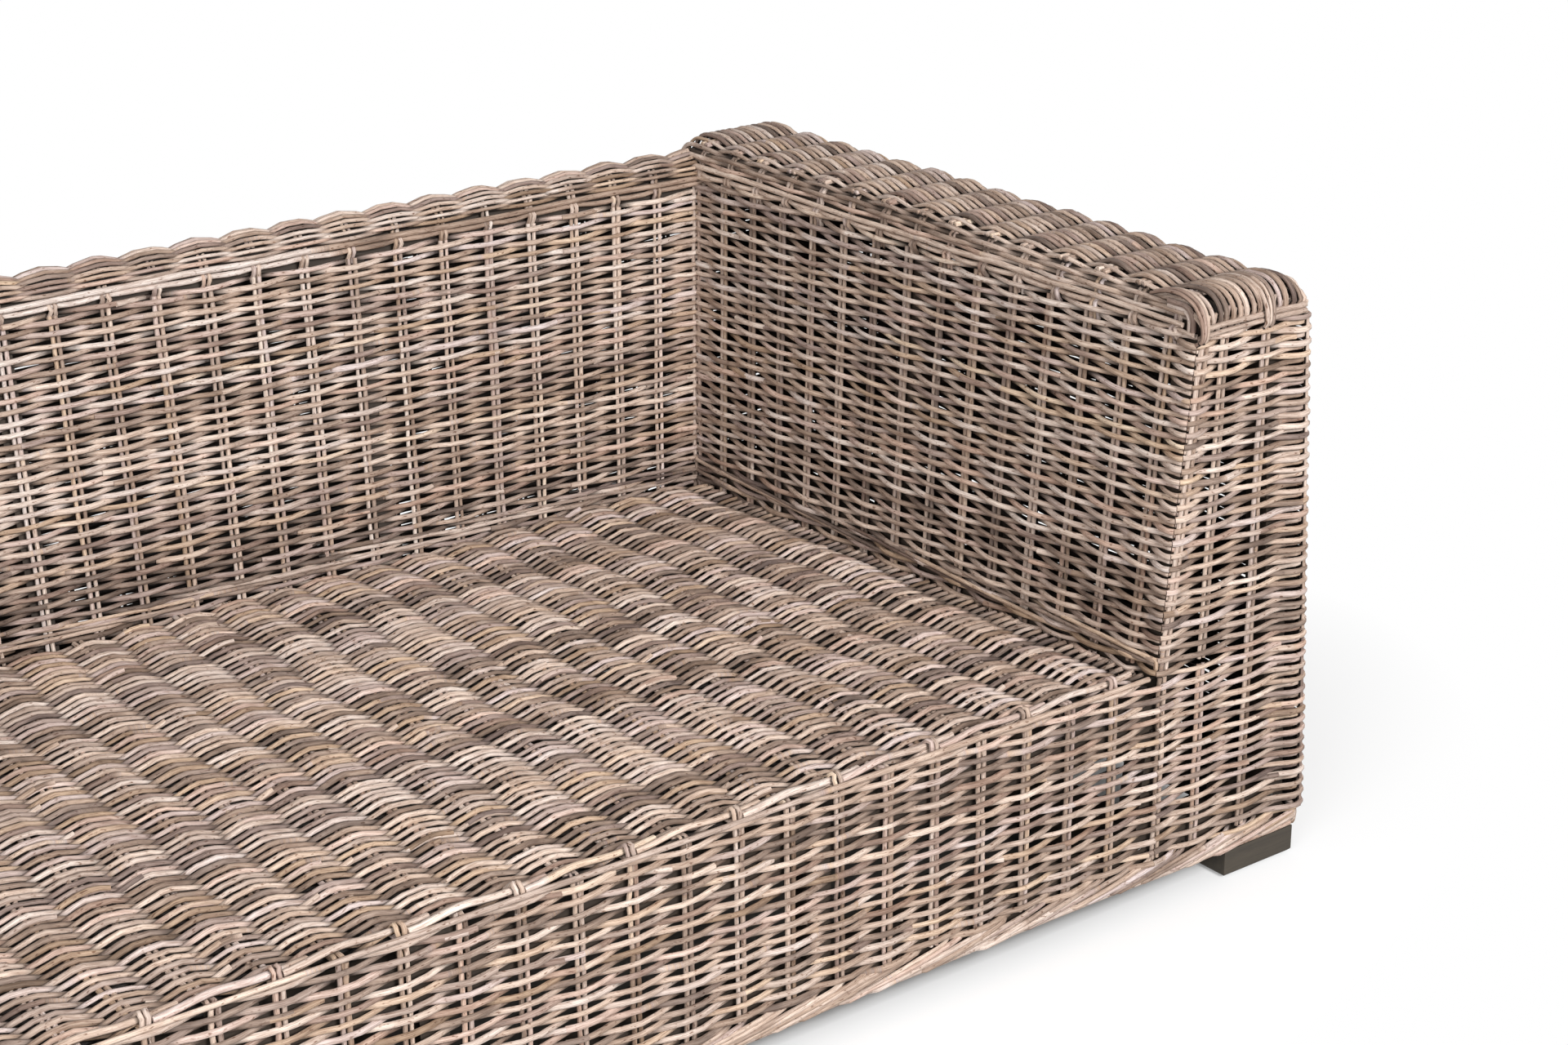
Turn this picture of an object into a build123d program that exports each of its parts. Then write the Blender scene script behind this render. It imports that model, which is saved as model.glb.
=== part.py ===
"""Woven cane garden sofa: a wooden frame with woven skins, standing on six block feet.

Millimetres. X runs across the sofa, with the right arm at +X as seen from the front. The front is at -Y and
+Z is up. The origin is on the ground under the middle of the sofa. Left and right are as seen from the front.
"""

from build123d import *
import os

os.makedirs("parts", exist_ok=True)

# Driving dimensions of the outside
width = 2200
depth = 925
arm_height = 684
back_drop = 16
skirt_gap = 34
seat_front_height = 285
seat_fall = 17
arm_width = 238
back_thickness = 97
arm_outer_lean = 39
arm_inner_lean = 44
back_recline = 51
arm_end_bend = 30
arm_end_straight = 2

# Woven skins
weave = 16
border_height = 40
binding_height = 23
edge_round = 6
furrow_depth = 5
furrow_share = 0.8

# Gaps between the stakes of the skins, from corner to corner
seat_gaps = 29
back_gaps = 30
rear_gaps = 36
side_gaps = 15
arm_front_gaps = 3

# Wooden frame
bar = 30
base_rail_height = 60
top_rail_height = 34
back_rail_height = 40
seat_rail_height = 50
seat_rail_rear_width = 45
side_rail_height = 110
side_rail_rise = 15
slat_width = 50
slat_thickness = 20
slat_count = 9
rib_count = 3
rib_width = 25
cross_rail_count = 3
corner_block_leg = 60

# Feet
foot_side = 105
foot_inset = 8
foot_chamfer = 3
glide_radius = 12
glide_thickness = 2

# Screws
screw_radius = 2.5
screw_head_radius = 5
screw_head_height = 4
screw_clearance = 0.1
foot_screw_recess = 10
foot_screw_grip = 40
foot_screw_spread = 35
post_screw_recess = 15
post_screw_grip = 40
joint_screw_length = 80
joint_screw_rise = 14
screw_stagger = 6

# Overrun of every cutting or trimming solid past what it trims
overrun = 5

# Levels and planes that several pieces share
seat_half_width = width / 2 - arm_width
seat_depth = depth - back_thickness
seat_rear_height = seat_front_height - seat_fall
back_height = arm_height - back_drop
side_rail_high = seat_front_height + side_rail_rise
side_rail_low = side_rail_high - side_rail_height
front = -depth / 2
rear = depth / 2
inside = depth / 2 - weave
frame_inside = inside - bar
border_top = skirt_gap + border_height
base_top = skirt_gap + base_rail_height
binding_low = seat_front_height - binding_height
crest_underside = arm_height - weave
top_rail_low = crest_underside - top_rail_height
back_crest_underside = back_height - weave
back_rail_low = back_crest_underside - back_rail_height
arm_end_low = arm_height - arm_end_bend - arm_end_straight
slat_low_rear = seat_rear_height - weave - slat_thickness


# Faces of the sofa as straight lines
def outer_x(z):
    """Outer face of the right arm, which leans in towards the top."""
    return width / 2 - arm_outer_lean * (z - skirt_gap) / (arm_height - skirt_gap)


def inner_x(z):
    """Inner face of the right arm, which leans away from the seat towards the top."""
    return seat_half_width + arm_inner_lean * (z - seat_front_height) / (arm_height - seat_front_height)


def back_y(z):
    """Inner face of the back, which reclines."""
    return front + seat_depth + back_recline * (z - seat_rear_height) / (back_height - seat_rear_height)


def seat_z(y):
    """Top of the seat, which falls towards the back."""
    return seat_front_height - seat_fall * (y - front) / seat_depth


def deck_low(y):
    """Underside of the woven deck, where the slats bear it."""
    return seat_z(y) - weave


def slat_low(y):
    """Underside of the seat slats."""
    return deck_low(y) - slat_thickness


def back_rear_y(z):
    """Rear side of the inner skin of the back."""
    return back_y(z) + weave


# Outlines shared by many pieces, as points in the XZ plane
def outer_strip(near, far, low, high):
    """Strip along the outer face of the right arm, from near to far inside that face."""
    return [
        (outer_x(low) - near, low),
        (outer_x(high) - near, high),
        (outer_x(high) - far, high),
        (outer_x(low) - far, low),
    ]


def inner_strip(near, far, low, high):
    """Strip along the inner face of the right arm, from near to far beyond that face."""
    return [
        (inner_x(low) + near, low),
        (inner_x(low) + far, low),
        (inner_x(high) + far, high),
        (inner_x(high) + near, high),
    ]


def between_arms(gap, low, high):
    """Space between the arms, taken deeper into each arm by the gap."""
    return [
        (-inner_x(low) - gap, low),
        (inner_x(low) + gap, low),
        (inner_x(high) + gap, high),
        (-inner_x(high) - gap, high),
    ]


def inside_arm(gap, low, high):
    """Space inside the right arm, less the gap at each face."""
    return [
        (inner_x(low) + gap, low),
        (outer_x(low) - gap, low),
        (outer_x(high) - gap, high),
        (inner_x(high) + gap, high),
    ]


def across_the_sofa(gap, low, high):
    """Whole width of the sofa, less the gap at each outer face."""
    return [
        (gap - outer_x(low), low),
        (outer_x(low) - gap, low),
        (outer_x(high) - gap, high),
        (gap - outer_x(high), high),
    ]


# Ways to make and keep a piece
def outline(points):
    """Closed face through the points, in the sketch that is open."""
    Polygon(*points, align=None)


def run_along_y(points, near, far):
    """Bar or slab with an outline in XZ, from the near to the far place along Y."""
    with BuildPart() as piece:
        with BuildSketch(Plane.XZ.offset(-far)):
            outline(points)
        extrude(amount=far - near)
    return piece


def run_along_x(points, span):
    """Bar or slab with an outline in YZ, across the middle of the sofa, trimmed by an outline in XZ."""
    with BuildPart() as piece:
        with BuildSketch(Plane.YZ):
            outline(points)
        extrude(amount=width / 2, both=True)
        with BuildSketch(Plane.XZ):
            outline(span)
        extrude(amount=depth, both=True, mode=Mode.INTERSECT)
    return piece


def furrows(low_ends, high_ends, gaps, outward):
    """Furrows between the stakes of a skin, which leave a ridge over each, in the part that is open.

    The stakes stand from one low end to the other and lead up to the high ends. Outward points off the face.
    """
    low_start, low_end = (Vector(*place) for place in low_ends)
    high_start, high_end = (Vector(*place) for place in high_ends)
    low_step = (low_end - low_start) / gaps
    high_step = (high_end - high_start) / gaps
    flare = low_step.length * furrow_share / 2 * (1 + overrun / furrow_depth)
    for gap in range(gaps):
        low = low_start + low_step * (gap + 0.5)
        high = high_start + high_step * (gap + 0.5)
        way = (high - low).normalized()
        with BuildSketch(Plane(origin=low - way * overrun, x_dir=outward, z_dir=way)) as section:
            outline([(-furrow_depth, 0), (overrun, -flare), (overrun, flare)])
        extrude(section.sketch, amount=(high - low).length + 2 * overrun, mode=Mode.SUBTRACT)


def mirrored(source, plane):
    """Twin of a piece on the other side of a plane."""
    with BuildPart() as piece:
        mirror(source.part, about=plane)
    return piece


def save(piece, name):
    """Label a piece and write it to its own file."""
    piece.part.label = name
    export_step(piece.part, f"parts/{name}.step")


def save_pair(piece, name):
    """Write a piece of the right half and its twin of the left half."""
    save(piece, f"{name}_right")
    save(mirrored(piece, Plane.YZ), f"{name}_left")


# Places of the screws
outer_rail_x = (outer_x(skirt_gap) + outer_x(base_top)) / 2 - weave - bar / 2
inner_rail_x = (inner_x(skirt_gap) + inner_x(base_top)) / 2 + weave + bar / 2
base_rail_middle_z = skirt_gap + base_rail_height / 2
rail_line = inside - bar / 2
foot_centre_x = outer_x(skirt_gap) - foot_inset - foot_side / 2
foot_centre_y = rear - foot_inset - foot_side / 2
joint_places = []
for rail_x in (0, inner_rail_x - screw_stagger, outer_rail_x - screw_stagger):
    for place_x in sorted({rail_x, -rail_x}):
        for rise in (-joint_screw_rise, joint_screw_rise):
            joint_places.append((place_x, base_rail_middle_z + rise))
outer_post_x = outer_x(base_top) - weave - bar / 2 + screw_stagger
inner_post_x = inner_x(base_top) + weave + bar / 2 + screw_stagger
post_places = [(-outer_post_x, -rail_line), (-inner_post_x, -rail_line), (inner_post_x, -rail_line),
               (outer_post_x, -rail_line)]
corner_foot_places = [(foot_centre_x - foot_screw_spread, -rail_line),
                      (outer_rail_x + screw_stagger, foot_screw_spread - foot_centre_y)]
middle_foot_places = [(-foot_screw_spread, -rail_line), (foot_screw_spread, -rail_line)]


# Base rails: a ring of bars just above the feet, tied by inner rails under the arms and one in the middle
def drill(places, plane, radius, length):
    """Round holes at the places of a plane, in the part that is open."""
    with BuildSketch(plane) as holes:
        with Locations(*places):
            Circle(radius)
    extrude(holes.sketch, amount=length, mode=Mode.SUBTRACT)


hole_radius = screw_radius + screw_clearance
head_hole_radius = screw_head_radius + screw_clearance
front_foot_places = corner_foot_places[:1] + middle_foot_places
front_foot_places.append((foot_screw_spread - foot_centre_x, -rail_line))

with BuildPart() as base_rail_front:
    with BuildSketch(Plane.XZ.offset(frame_inside)):
        outline(across_the_sofa(weave, skirt_gap, base_top))
    extrude(amount=bar)
    drill(joint_places, Plane.XZ.offset(frame_inside - overrun), hole_radius, bar + 2 * overrun)
    drill(joint_places, Plane.XZ.offset(inside - screw_head_height - screw_clearance), head_hole_radius,
          screw_head_height + overrun)
    drill(post_places, Plane.XY.offset(skirt_gap - overrun), hole_radius, base_rail_height + 2 * overrun)
    drill(post_places, Plane.XY.offset(skirt_gap - overrun), head_hole_radius,
          post_screw_recess + screw_head_height + screw_clearance + overrun)
    drill(front_foot_places, Plane.XY.offset(skirt_gap - overrun), hole_radius,
          foot_screw_grip + screw_clearance + overrun)
save(base_rail_front, "base_rail_front")
save(mirrored(base_rail_front, Plane.XZ), "base_rail_rear")

joint_hole_length = joint_screw_length + screw_clearance - bar
joint_hole_plane = Plane.XZ.offset(frame_inside - joint_hole_length)

with BuildPart() as base_rail_side:
    with BuildSketch(Plane.XZ.offset(-frame_inside)):
        outline(outer_strip(weave, weave + bar, skirt_gap, base_top))
    extrude(amount=2 * frame_inside)
    drill(joint_places, joint_hole_plane, hole_radius, joint_hole_length)
    drill(corner_foot_places[1:], Plane.XY.offset(skirt_gap), hole_radius, foot_screw_grip + screw_clearance)
    split(bisect_by=Plane.XZ)
    mirror(about=Plane.XZ)
save_pair(base_rail_side, "base_rail")

with BuildPart() as base_rail_inner:
    with BuildSketch(Plane.XZ.offset(-frame_inside)):
        outline(inner_strip(weave, weave + bar, skirt_gap, base_top))
    extrude(amount=2 * frame_inside)
    drill(joint_places, joint_hole_plane, hole_radius, joint_hole_length)
    split(bisect_by=Plane.XZ)
    mirror(about=Plane.XZ)
save_pair(base_rail_inner, "base_rail_inner")

with BuildPart() as base_rail_middle:
    with BuildSketch(Plane.XY.offset(skirt_gap)):
        Rectangle(bar, 2 * frame_inside)
    extrude(amount=base_rail_height)
    drill(joint_places, joint_hole_plane, hole_radius, joint_hole_length)
    split(bisect_by=Plane.XZ)
    mirror(about=Plane.XZ)
save(base_rail_middle, "base_rail_middle")

# Corner blocks: glued triangles in the corners of the base ring
block_corner_x = outer_x(skirt_gap) - weave - bar
with BuildPart() as corner_blocks:
    with BuildSketch(Plane.XY.offset(skirt_gap)):
        outline([(block_corner_x, -frame_inside), (block_corner_x - corner_block_leg, -frame_inside),
                 (block_corner_x, corner_block_leg - frame_inside)])
    extrude(amount=base_rail_height)
    with BuildSketch(Plane.XZ):
        outline(across_the_sofa(weave + bar, skirt_gap, base_top))
    extrude(amount=depth, both=True, mode=Mode.INTERSECT)
    mirror(about=Plane.XZ)
    mirror(about=Plane.YZ)
save(corner_blocks, "corner_blocks")


# Feet: stained wooden blocks screwed up into the base ring, each on one glide
def block_foot(centre_x, centre_y, screw_places):
    """Block between its glide and the base rails, with two recessed screw holes."""
    with BuildPart() as foot:
        with BuildSketch(Plane.XY.offset(glide_thickness)):
            with Locations((centre_x, centre_y)):
                Rectangle(foot_side, foot_side)
        extrude(amount=skirt_gap - glide_thickness)
        chamfer(foot.faces().sort_by(Axis.Z)[0].edges(), foot_chamfer)
        drill(screw_places, Plane.XY, hole_radius, skirt_gap + overrun)
        drill(screw_places, Plane.XY, head_hole_radius,
              foot_screw_recess + screw_head_height + screw_clearance)
    return foot


foot_front_right = block_foot(foot_centre_x, -foot_centre_y, corner_foot_places)
foot_front_left = mirrored(foot_front_right, Plane.YZ)
foot_front_middle = block_foot(0, -foot_centre_y, middle_foot_places)
save(foot_front_right, "foot_front_right")
save(foot_front_left, "foot_front_left")
save(foot_front_middle, "foot_front_middle")
save(mirrored(foot_front_right, Plane.XZ), "foot_rear_right")
save(mirrored(foot_front_left, Plane.XZ), "foot_rear_left")
save(mirrored(foot_front_middle, Plane.XZ), "foot_rear_middle")

with BuildPart() as foot_glides:
    with BuildSketch(Plane.XY):
        with GridLocations(foot_centre_x, 2 * foot_centre_y, 3, 2):
            Circle(glide_radius)
    extrude(amount=glide_thickness)
save(foot_glides, "foot_glides")


# Screws: foot screws, post screws and the screws that join the base rails
def screws(places, plane, length):
    """Flat-headed screws that start with their heads on the plane, in the part that is open."""
    with BuildSketch(plane) as heads:
        with Locations(*places):
            Circle(screw_head_radius)
    extrude(heads.sketch, amount=screw_head_height)
    with BuildSketch(plane) as shanks:
        with Locations(*places):
            Circle(screw_radius)
    extrude(shanks.sketch, amount=length)


foot_screw_length = skirt_gap + foot_screw_grip - foot_screw_recess
with BuildPart() as foot_screws:
    screws(corner_foot_places, Plane.XY.offset(foot_screw_recess), foot_screw_length)
    mirror(about=Plane.YZ)
    screws(middle_foot_places, Plane.XY.offset(foot_screw_recess), foot_screw_length)
    mirror(about=Plane.XZ)
save(foot_screws, "foot_screws")

with BuildPart() as post_screws:
    screws(post_places, Plane.XY.offset(skirt_gap + post_screw_recess),
           base_rail_height - post_screw_recess + post_screw_grip)
    mirror(about=Plane.XZ)
save(post_screws, "post_screws")

with BuildPart() as rail_screws:
    screws(joint_places, Plane(origin=(0, -inside, 0), x_dir=(-1, 0, 0), z_dir=(0, 1, 0)), joint_screw_length)
    mirror(about=Plane.XZ)
save(rail_screws, "rail_screws")


# Arm posts: four leaning posts in each arm, on the base ring
def post(points, corner_x):
    """Front post with the outline in XZ, drilled from below for its screw."""
    with BuildPart() as piece:
        with BuildSketch(Plane.XZ.offset(frame_inside)):
            outline(points)
        extrude(amount=bar)
        drill([(corner_x, -rail_line)], Plane.XY.offset(base_top - overrun), hole_radius,
              post_screw_grip + screw_clearance + overrun)
    return piece


outer_post = post(outer_strip(weave, weave + bar, base_top, top_rail_low), outer_post_x)
inner_post = post(inner_strip(weave, weave + bar, base_top, top_rail_low), inner_post_x)
save_pair(outer_post, "post_front_outer")
save_pair(inner_post, "post_front_inner")
save_pair(mirrored(outer_post, Plane.XZ), "post_rear_outer")
save_pair(mirrored(inner_post, Plane.XZ), "post_rear_inner")


# Arm rails: two rails on the posts of each arm, rounded at their ends under the bent skin
def arm_rail(points):
    """Rail along the arm with the outline in XZ."""
    with BuildPart() as piece:
        with BuildSketch(Plane.XZ):
            outline(points)
        extrude(amount=inside, both=True)
        with BuildSketch(Plane.YZ):
            with Locations((0, crest_underside - top_rail_height / 2)):
                Rectangle(2 * inside, top_rail_height)
            fillet(vertices().group_by(Axis.Y)[-1], arm_end_bend - weave)
        extrude(amount=width, both=True, mode=Mode.INTERSECT)
    return piece


save_pair(arm_rail(outer_strip(weave, weave + bar, top_rail_low, crest_underside)), "arm_rail_outer")
save_pair(arm_rail(inner_strip(weave, weave + bar, top_rail_low, crest_underside)), "arm_rail_inner")

cross_rail_pitch = (2 * frame_inside - bar) / (cross_rail_count - 1)
with BuildPart() as arm_cross_rails:
    with BuildSketch(Plane.XY.offset(top_rail_low)):
        with GridLocations(0, cross_rail_pitch, 1, cross_rail_count):
            Rectangle(width, bar)
    extrude(amount=top_rail_height)
    with BuildSketch(Plane.XZ):
        outline(inside_arm(weave + bar, top_rail_low, crest_underside))
    extrude(amount=depth, both=True, mode=Mode.INTERSECT)
    mirror(about=Plane.YZ)
save(arm_cross_rails, "arm_cross_rails")

# Arm studs: one upright halfway along each face of each arm
with BuildPart() as arm_studs:
    with BuildSketch(Plane.XZ):
        outline(outer_strip(weave, weave + bar, base_top, top_rail_low))
        outline(inner_strip(weave, weave + bar, side_rail_high, top_rail_low))
    extrude(amount=bar / 2, both=True)
    mirror(about=Plane.YZ)
save(arm_studs, "arm_studs")

# Seat frame: rails between the inner posts, with a middle rail on a post of its own
seat_side_rail = run_along_y(
    inner_strip(weave, weave + bar, side_rail_low, side_rail_high), -frame_inside, frame_inside)
save_pair(seat_side_rail, "seat_rail")


def seat_rail(near, far):
    """Rail across the seat frame under the slats, with a sloping top."""
    underside = slat_low(near) - seat_rail_height
    points = [(near, underside), (far, underside), (far, slat_low(far)), (near, slat_low(near))]
    return run_along_x(points, between_arms(weave, skirt_gap, seat_front_height))


rear_rail_back = back_rear_y(slat_low_rear)
middle_rail_front = (rear_rail_back - seat_rail_rear_width - inside) / 2
front_rail_low = slat_low(-inside) - seat_rail_height
middle_rail_low = slat_low(middle_rail_front) - seat_rail_height
save(seat_rail(-inside, -frame_inside), "seat_rail_front")
save(seat_rail(middle_rail_front, middle_rail_front + bar), "seat_rail_middle")
save(seat_rail(rear_rail_back - seat_rail_rear_width, rear_rail_back), "seat_rail_rear")

# Seat studs: three uprights under the front rail, and one under the middle rail
stud_pitch = 2 * seat_half_width / (rib_count + 1)
with BuildPart() as seat_studs:
    with BuildSketch(Plane.XY.offset(base_top)):
        with Locations((0, -rail_line)):
            with GridLocations(stud_pitch, 0, rib_count, 1):
                Rectangle(bar, bar)
    extrude(amount=front_rail_low - base_top)
    with BuildSketch(Plane.XY.offset(base_top)):
        with Locations((0, middle_rail_front + bar / 2)):
            Rectangle(bar, bar)
    extrude(amount=middle_rail_low - base_top)
save(seat_studs, "seat_studs")

# Seat slats: boards from the front rail to the rear rail, under the woven deck
slat_rear = back_y(slat_low_rear)
slat_pitch = 2 * seat_half_width / slat_count
with BuildPart() as seat_slats:
    for slat in range(slat_count):
        slat_centre = (slat - (slat_count - 1) / 2) * slat_pitch
        with BuildSketch(Plane.YZ.offset(slat_centre - slat_width / 2)):
            outline([(-inside, slat_low(-inside)), (slat_rear, slat_low(slat_rear)),
                     (slat_rear, deck_low(slat_rear)), (-inside, deck_low(-inside))])
        extrude(amount=slat_width)
save(seat_slats, "seat_slats")

# Back frame: a top rail between the rear inner posts, on shaped ribs that stand on the rear base rail
back_top_rail = run_along_x(
    [(back_rear_y(back_rail_low), back_rail_low), (inside, back_rail_low),
     (inside, back_crest_underside), (back_rear_y(back_crest_underside), back_crest_underside)],
    between_arms(weave, back_rail_low, back_crest_underside))
save(back_top_rail, "back_top_rail")

with BuildPart() as back_ribs:
    for rib in range(rib_count):
        rib_centre = (rib - (rib_count - 1) / 2) * stud_pitch
        with BuildSketch(Plane.YZ.offset(rib_centre - rib_width / 2)):
            outline([(rear_rail_back, base_top), (inside, base_top), (inside, back_rail_low),
                     (back_rear_y(back_rail_low), back_rail_low), (rear_rail_back, slat_low_rear)])
        extrude(amount=rib_width)
save(back_ribs, "back_ribs")

# Bottom border: the plaited edge of the skirt, in four runs round the base ring
border_front = run_along_y(across_the_sofa(0, skirt_gap, border_top), front, -inside)
save(border_front, "border_front")
save(mirrored(border_front, Plane.XZ), "border_rear")
save_pair(run_along_y(outer_strip(0, weave, skirt_gap, border_top), -inside, inside), "border")

# Middle of the skins, where their stakes stand, and the ways that the leaning faces look
arm_foot_x = outer_x(border_top)
arm_end_x = outer_x(arm_end_low)
arm_crest_x = outer_x(arm_height)
stake_line = weave / 2
stakes_front = front + stake_line
stakes_rear = rear - stake_line
stakes_inner = seat_half_width + stake_line
outer_way = (arm_height - skirt_gap, 0, arm_outer_lean)
inner_way = (seat_front_height - arm_height, 0, arm_inner_lean)
back_way = (0, seat_rear_height - back_height, back_recline)
seat_way = (0, seat_fall, seat_depth)

# Front skins: the apron under the seat, its bound top edge, and the front of each arm
with BuildPart() as apron_weave:
    with BuildSketch(Plane.XZ.offset(inside)):
        with Locations((0, (border_top + binding_low) / 2)):
            Rectangle(2 * seat_half_width, binding_low - border_top)
    extrude(amount=weave)
    furrows([(-stakes_inner, front, border_top), (stakes_inner, front, border_top)],
            [(-stakes_inner, front, binding_low), (stakes_inner, front, binding_low)], seat_gaps, (0, -1, 0))
save(apron_weave, "apron_weave")

with BuildPart() as apron_binding:
    with BuildSketch(Plane.XZ.offset(inside)):
        with Locations((0, seat_front_height - binding_height / 2)):
            Rectangle(2 * seat_half_width, binding_height)
    extrude(amount=weave)
    fillet(apron_binding.edges().filter_by(Axis.X).group_by(Axis.Z)[-1].sort_by(Axis.Y)[0], edge_round)
save(apron_binding, "apron_binding")

with BuildPart() as arm_front_weave:
    with BuildSketch(Plane.XZ.offset(inside)):
        outline([(seat_half_width, border_top), (outer_x(border_top), border_top),
                 (outer_x(arm_end_low), arm_end_low), (inner_x(arm_end_low), arm_end_low),
                 (seat_half_width, seat_front_height)])
    extrude(amount=weave)
    furrows([(stakes_inner, front, border_top), (arm_foot_x - stake_line, front, border_top)],
            [(inner_x(arm_end_low) + stake_line, front, arm_end_low),
             (arm_end_x - stake_line, front, arm_end_low)], arm_front_gaps, (0, -1, 0))
save_pair(arm_front_weave, "arm_front_weave")

# Rear skin: one panel over the whole back of the sofa
with BuildPart() as rear_weave:
    with BuildSketch(Plane.XZ.offset(-rear)):
        outline(inside_arm(0, border_top, arm_end_low))
        mirror(about=Plane.YZ)
        outline(between_arms(0, border_top, back_crest_underside))
    extrude(amount=weave)
    furrows([(stake_line - arm_foot_x, rear, border_top), (arm_foot_x - stake_line, rear, border_top)],
            [(stake_line - arm_end_x, rear, arm_end_low), (arm_end_x - stake_line, rear, arm_end_low)],
            rear_gaps, (0, 1, 0))
save(rear_weave, "rear_weave")

# Arm side skins: panels inside the front, top and rear skins
with BuildPart() as arm_outer_weave:
    with BuildSketch(Plane.XZ):
        outline(outer_strip(0, weave, border_top, crest_underside))
    extrude(amount=inside, both=True)
    with BuildSketch(Plane.YZ):
        with Locations((0, (border_top + crest_underside) / 2)):
            Rectangle(2 * inside, crest_underside - border_top)
        fillet(vertices().group_by(Axis.Y)[-1], arm_end_bend - weave)
    extrude(amount=width, both=True, mode=Mode.INTERSECT)
    furrows([(arm_foot_x, stakes_front, border_top), (arm_foot_x, stakes_rear, border_top)],
            [(arm_crest_x, stakes_front, arm_height), (arm_crest_x, stakes_rear, arm_height)],
            side_gaps, outer_way)
save_pair(arm_outer_weave, "arm_outer_weave")

panel_foot_z = slat_low(back_rear_y(slat_low(rear_rail_back)))
skirt_x = inner_x(skirt_gap)
skirt_y = back_y(skirt_gap)
crest_x = inner_x(arm_height)
with BuildPart() as arm_inner_weave:
    with BuildSketch(Plane.XZ):
        outline(inner_strip(0, weave, skirt_gap, crest_underside))
    extrude(amount=depth, both=True)
    with BuildSketch(Plane.YZ):
        outline([(-inside, slat_low(-inside)), (back_rear_y(panel_foot_z), panel_foot_z),
                 (back_rear_y(crest_underside), crest_underside), (-inside, crest_underside)])
        fillet(vertices().group_by(Axis.X)[0].sort_by(Axis.Y)[-1], arm_end_bend - weave)
    extrude(amount=width, both=True, mode=Mode.INTERSECT)
    furrows([(skirt_x, stakes_front, skirt_gap), (skirt_x, skirt_y + stake_line, skirt_gap)],
            [(crest_x, stakes_front, arm_height), (crest_x, back_y(arm_height) + stake_line, arm_height)],
            side_gaps, inner_way)
save_pair(arm_inner_weave, "arm_inner_weave")

# Arm top skins: bent down over the front and rear ends of each arm
with BuildPart() as arm_top_weave:
    with BuildSketch(Plane.YZ):
        with BuildLine():
            Polyline((-rear, arm_end_low), (-rear, arm_height), (rear, arm_height), (rear, arm_end_low))
            fillet(vertices().group_by(Axis.Y)[-1], arm_end_bend)
            offset(amount=weave, side=Side.RIGHT)
        make_face()
    extrude(amount=width, both=True)
    with BuildSketch(Plane.XZ):
        outline(inside_arm(0, arm_end_low, arm_height))
    extrude(amount=depth, both=True, mode=Mode.INTERSECT)
    furrows([(seat_half_width, stakes_front, arm_height), (seat_half_width, stakes_rear, arm_height)],
            [(width / 2, stakes_front, arm_height), (width / 2, stakes_rear, arm_height)],
            side_gaps, (0, 0, 1))
save_pair(arm_top_weave, "arm_top_weave")

# Seat deck: the woven platform on the slats
deck_rear = back_y(seat_rear_height - weave)
deck_outline = [(-inside, deck_low(-inside)), (deck_rear, deck_low(deck_rear)),
                (back_y(seat_rear_height), seat_rear_height), (-inside, seat_z(-inside))]
with BuildPart() as seat_deck:
    add(run_along_x(deck_outline, between_arms(0, skirt_gap, seat_front_height)).part)
    furrows([(-stakes_inner, front, seat_front_height), (stakes_inner, front, seat_front_height)],
            [(-stakes_inner, rear, seat_z(rear)), (stakes_inner, rear, seat_z(rear))], seat_gaps, seat_way)
save(seat_deck, "seat_deck")

# Back skins: the reclined inner panel and the top between the arms
back_foot_z = slat_low(back_y(slat_low_rear))
back_outline = [(back_y(back_foot_z), back_foot_z), (back_rear_y(back_foot_z), back_foot_z),
                (back_rear_y(back_crest_underside), back_crest_underside),
                (back_y(back_crest_underside), back_crest_underside)]
with BuildPart() as back_inner_weave:
    add(run_along_x(back_outline, between_arms(0, skirt_gap, back_height)).part)
    furrows([(-skirt_x, skirt_y, skirt_gap), (skirt_x, skirt_y, skirt_gap)],
            [(-inner_x(back_height), back_y(back_height), back_height),
             (inner_x(back_height), back_y(back_height), back_height)], back_gaps, back_way)
save(back_inner_weave, "back_inner_weave")

back_top_outline = [(back_y(back_crest_underside), back_crest_underside), (rear, back_crest_underside),
                    (rear, back_height), (back_y(back_height), back_height)]
with BuildPart() as back_top_weave:
    add(run_along_x(back_top_outline, between_arms(0, back_crest_underside, back_height)).part)
    fillet(back_top_weave.edges().filter_by(Axis.X).group_by(Axis.Z)[-1], edge_round)
save(back_top_weave, "back_top_weave")
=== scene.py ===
"""Looks of the woven cane garden sofa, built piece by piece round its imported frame."""
from math import pi, radians

import bpy
import numpy as np
from mathutils import Euler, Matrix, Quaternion, Vector


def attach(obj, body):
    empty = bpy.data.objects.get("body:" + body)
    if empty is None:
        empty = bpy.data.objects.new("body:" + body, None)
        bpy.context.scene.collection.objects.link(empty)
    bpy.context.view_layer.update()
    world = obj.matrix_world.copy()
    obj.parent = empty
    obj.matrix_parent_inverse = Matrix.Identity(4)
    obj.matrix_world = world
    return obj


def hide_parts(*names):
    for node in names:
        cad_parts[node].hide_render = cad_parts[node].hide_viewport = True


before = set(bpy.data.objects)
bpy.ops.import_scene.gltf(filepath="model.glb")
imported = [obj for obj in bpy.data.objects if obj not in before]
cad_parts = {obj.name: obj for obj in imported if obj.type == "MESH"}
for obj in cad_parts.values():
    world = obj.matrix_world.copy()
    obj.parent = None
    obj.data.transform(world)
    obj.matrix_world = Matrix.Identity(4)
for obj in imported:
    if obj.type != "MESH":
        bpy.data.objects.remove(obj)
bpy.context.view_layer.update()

# Feet
# Six square hardwood blocks, stained a dark olive brown and sealed, screwed up into the base ring. The grain
# runs level.
foot_tones = ((0.019, 0.014, 0.009), (0.052, 0.041, 0.028))


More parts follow.
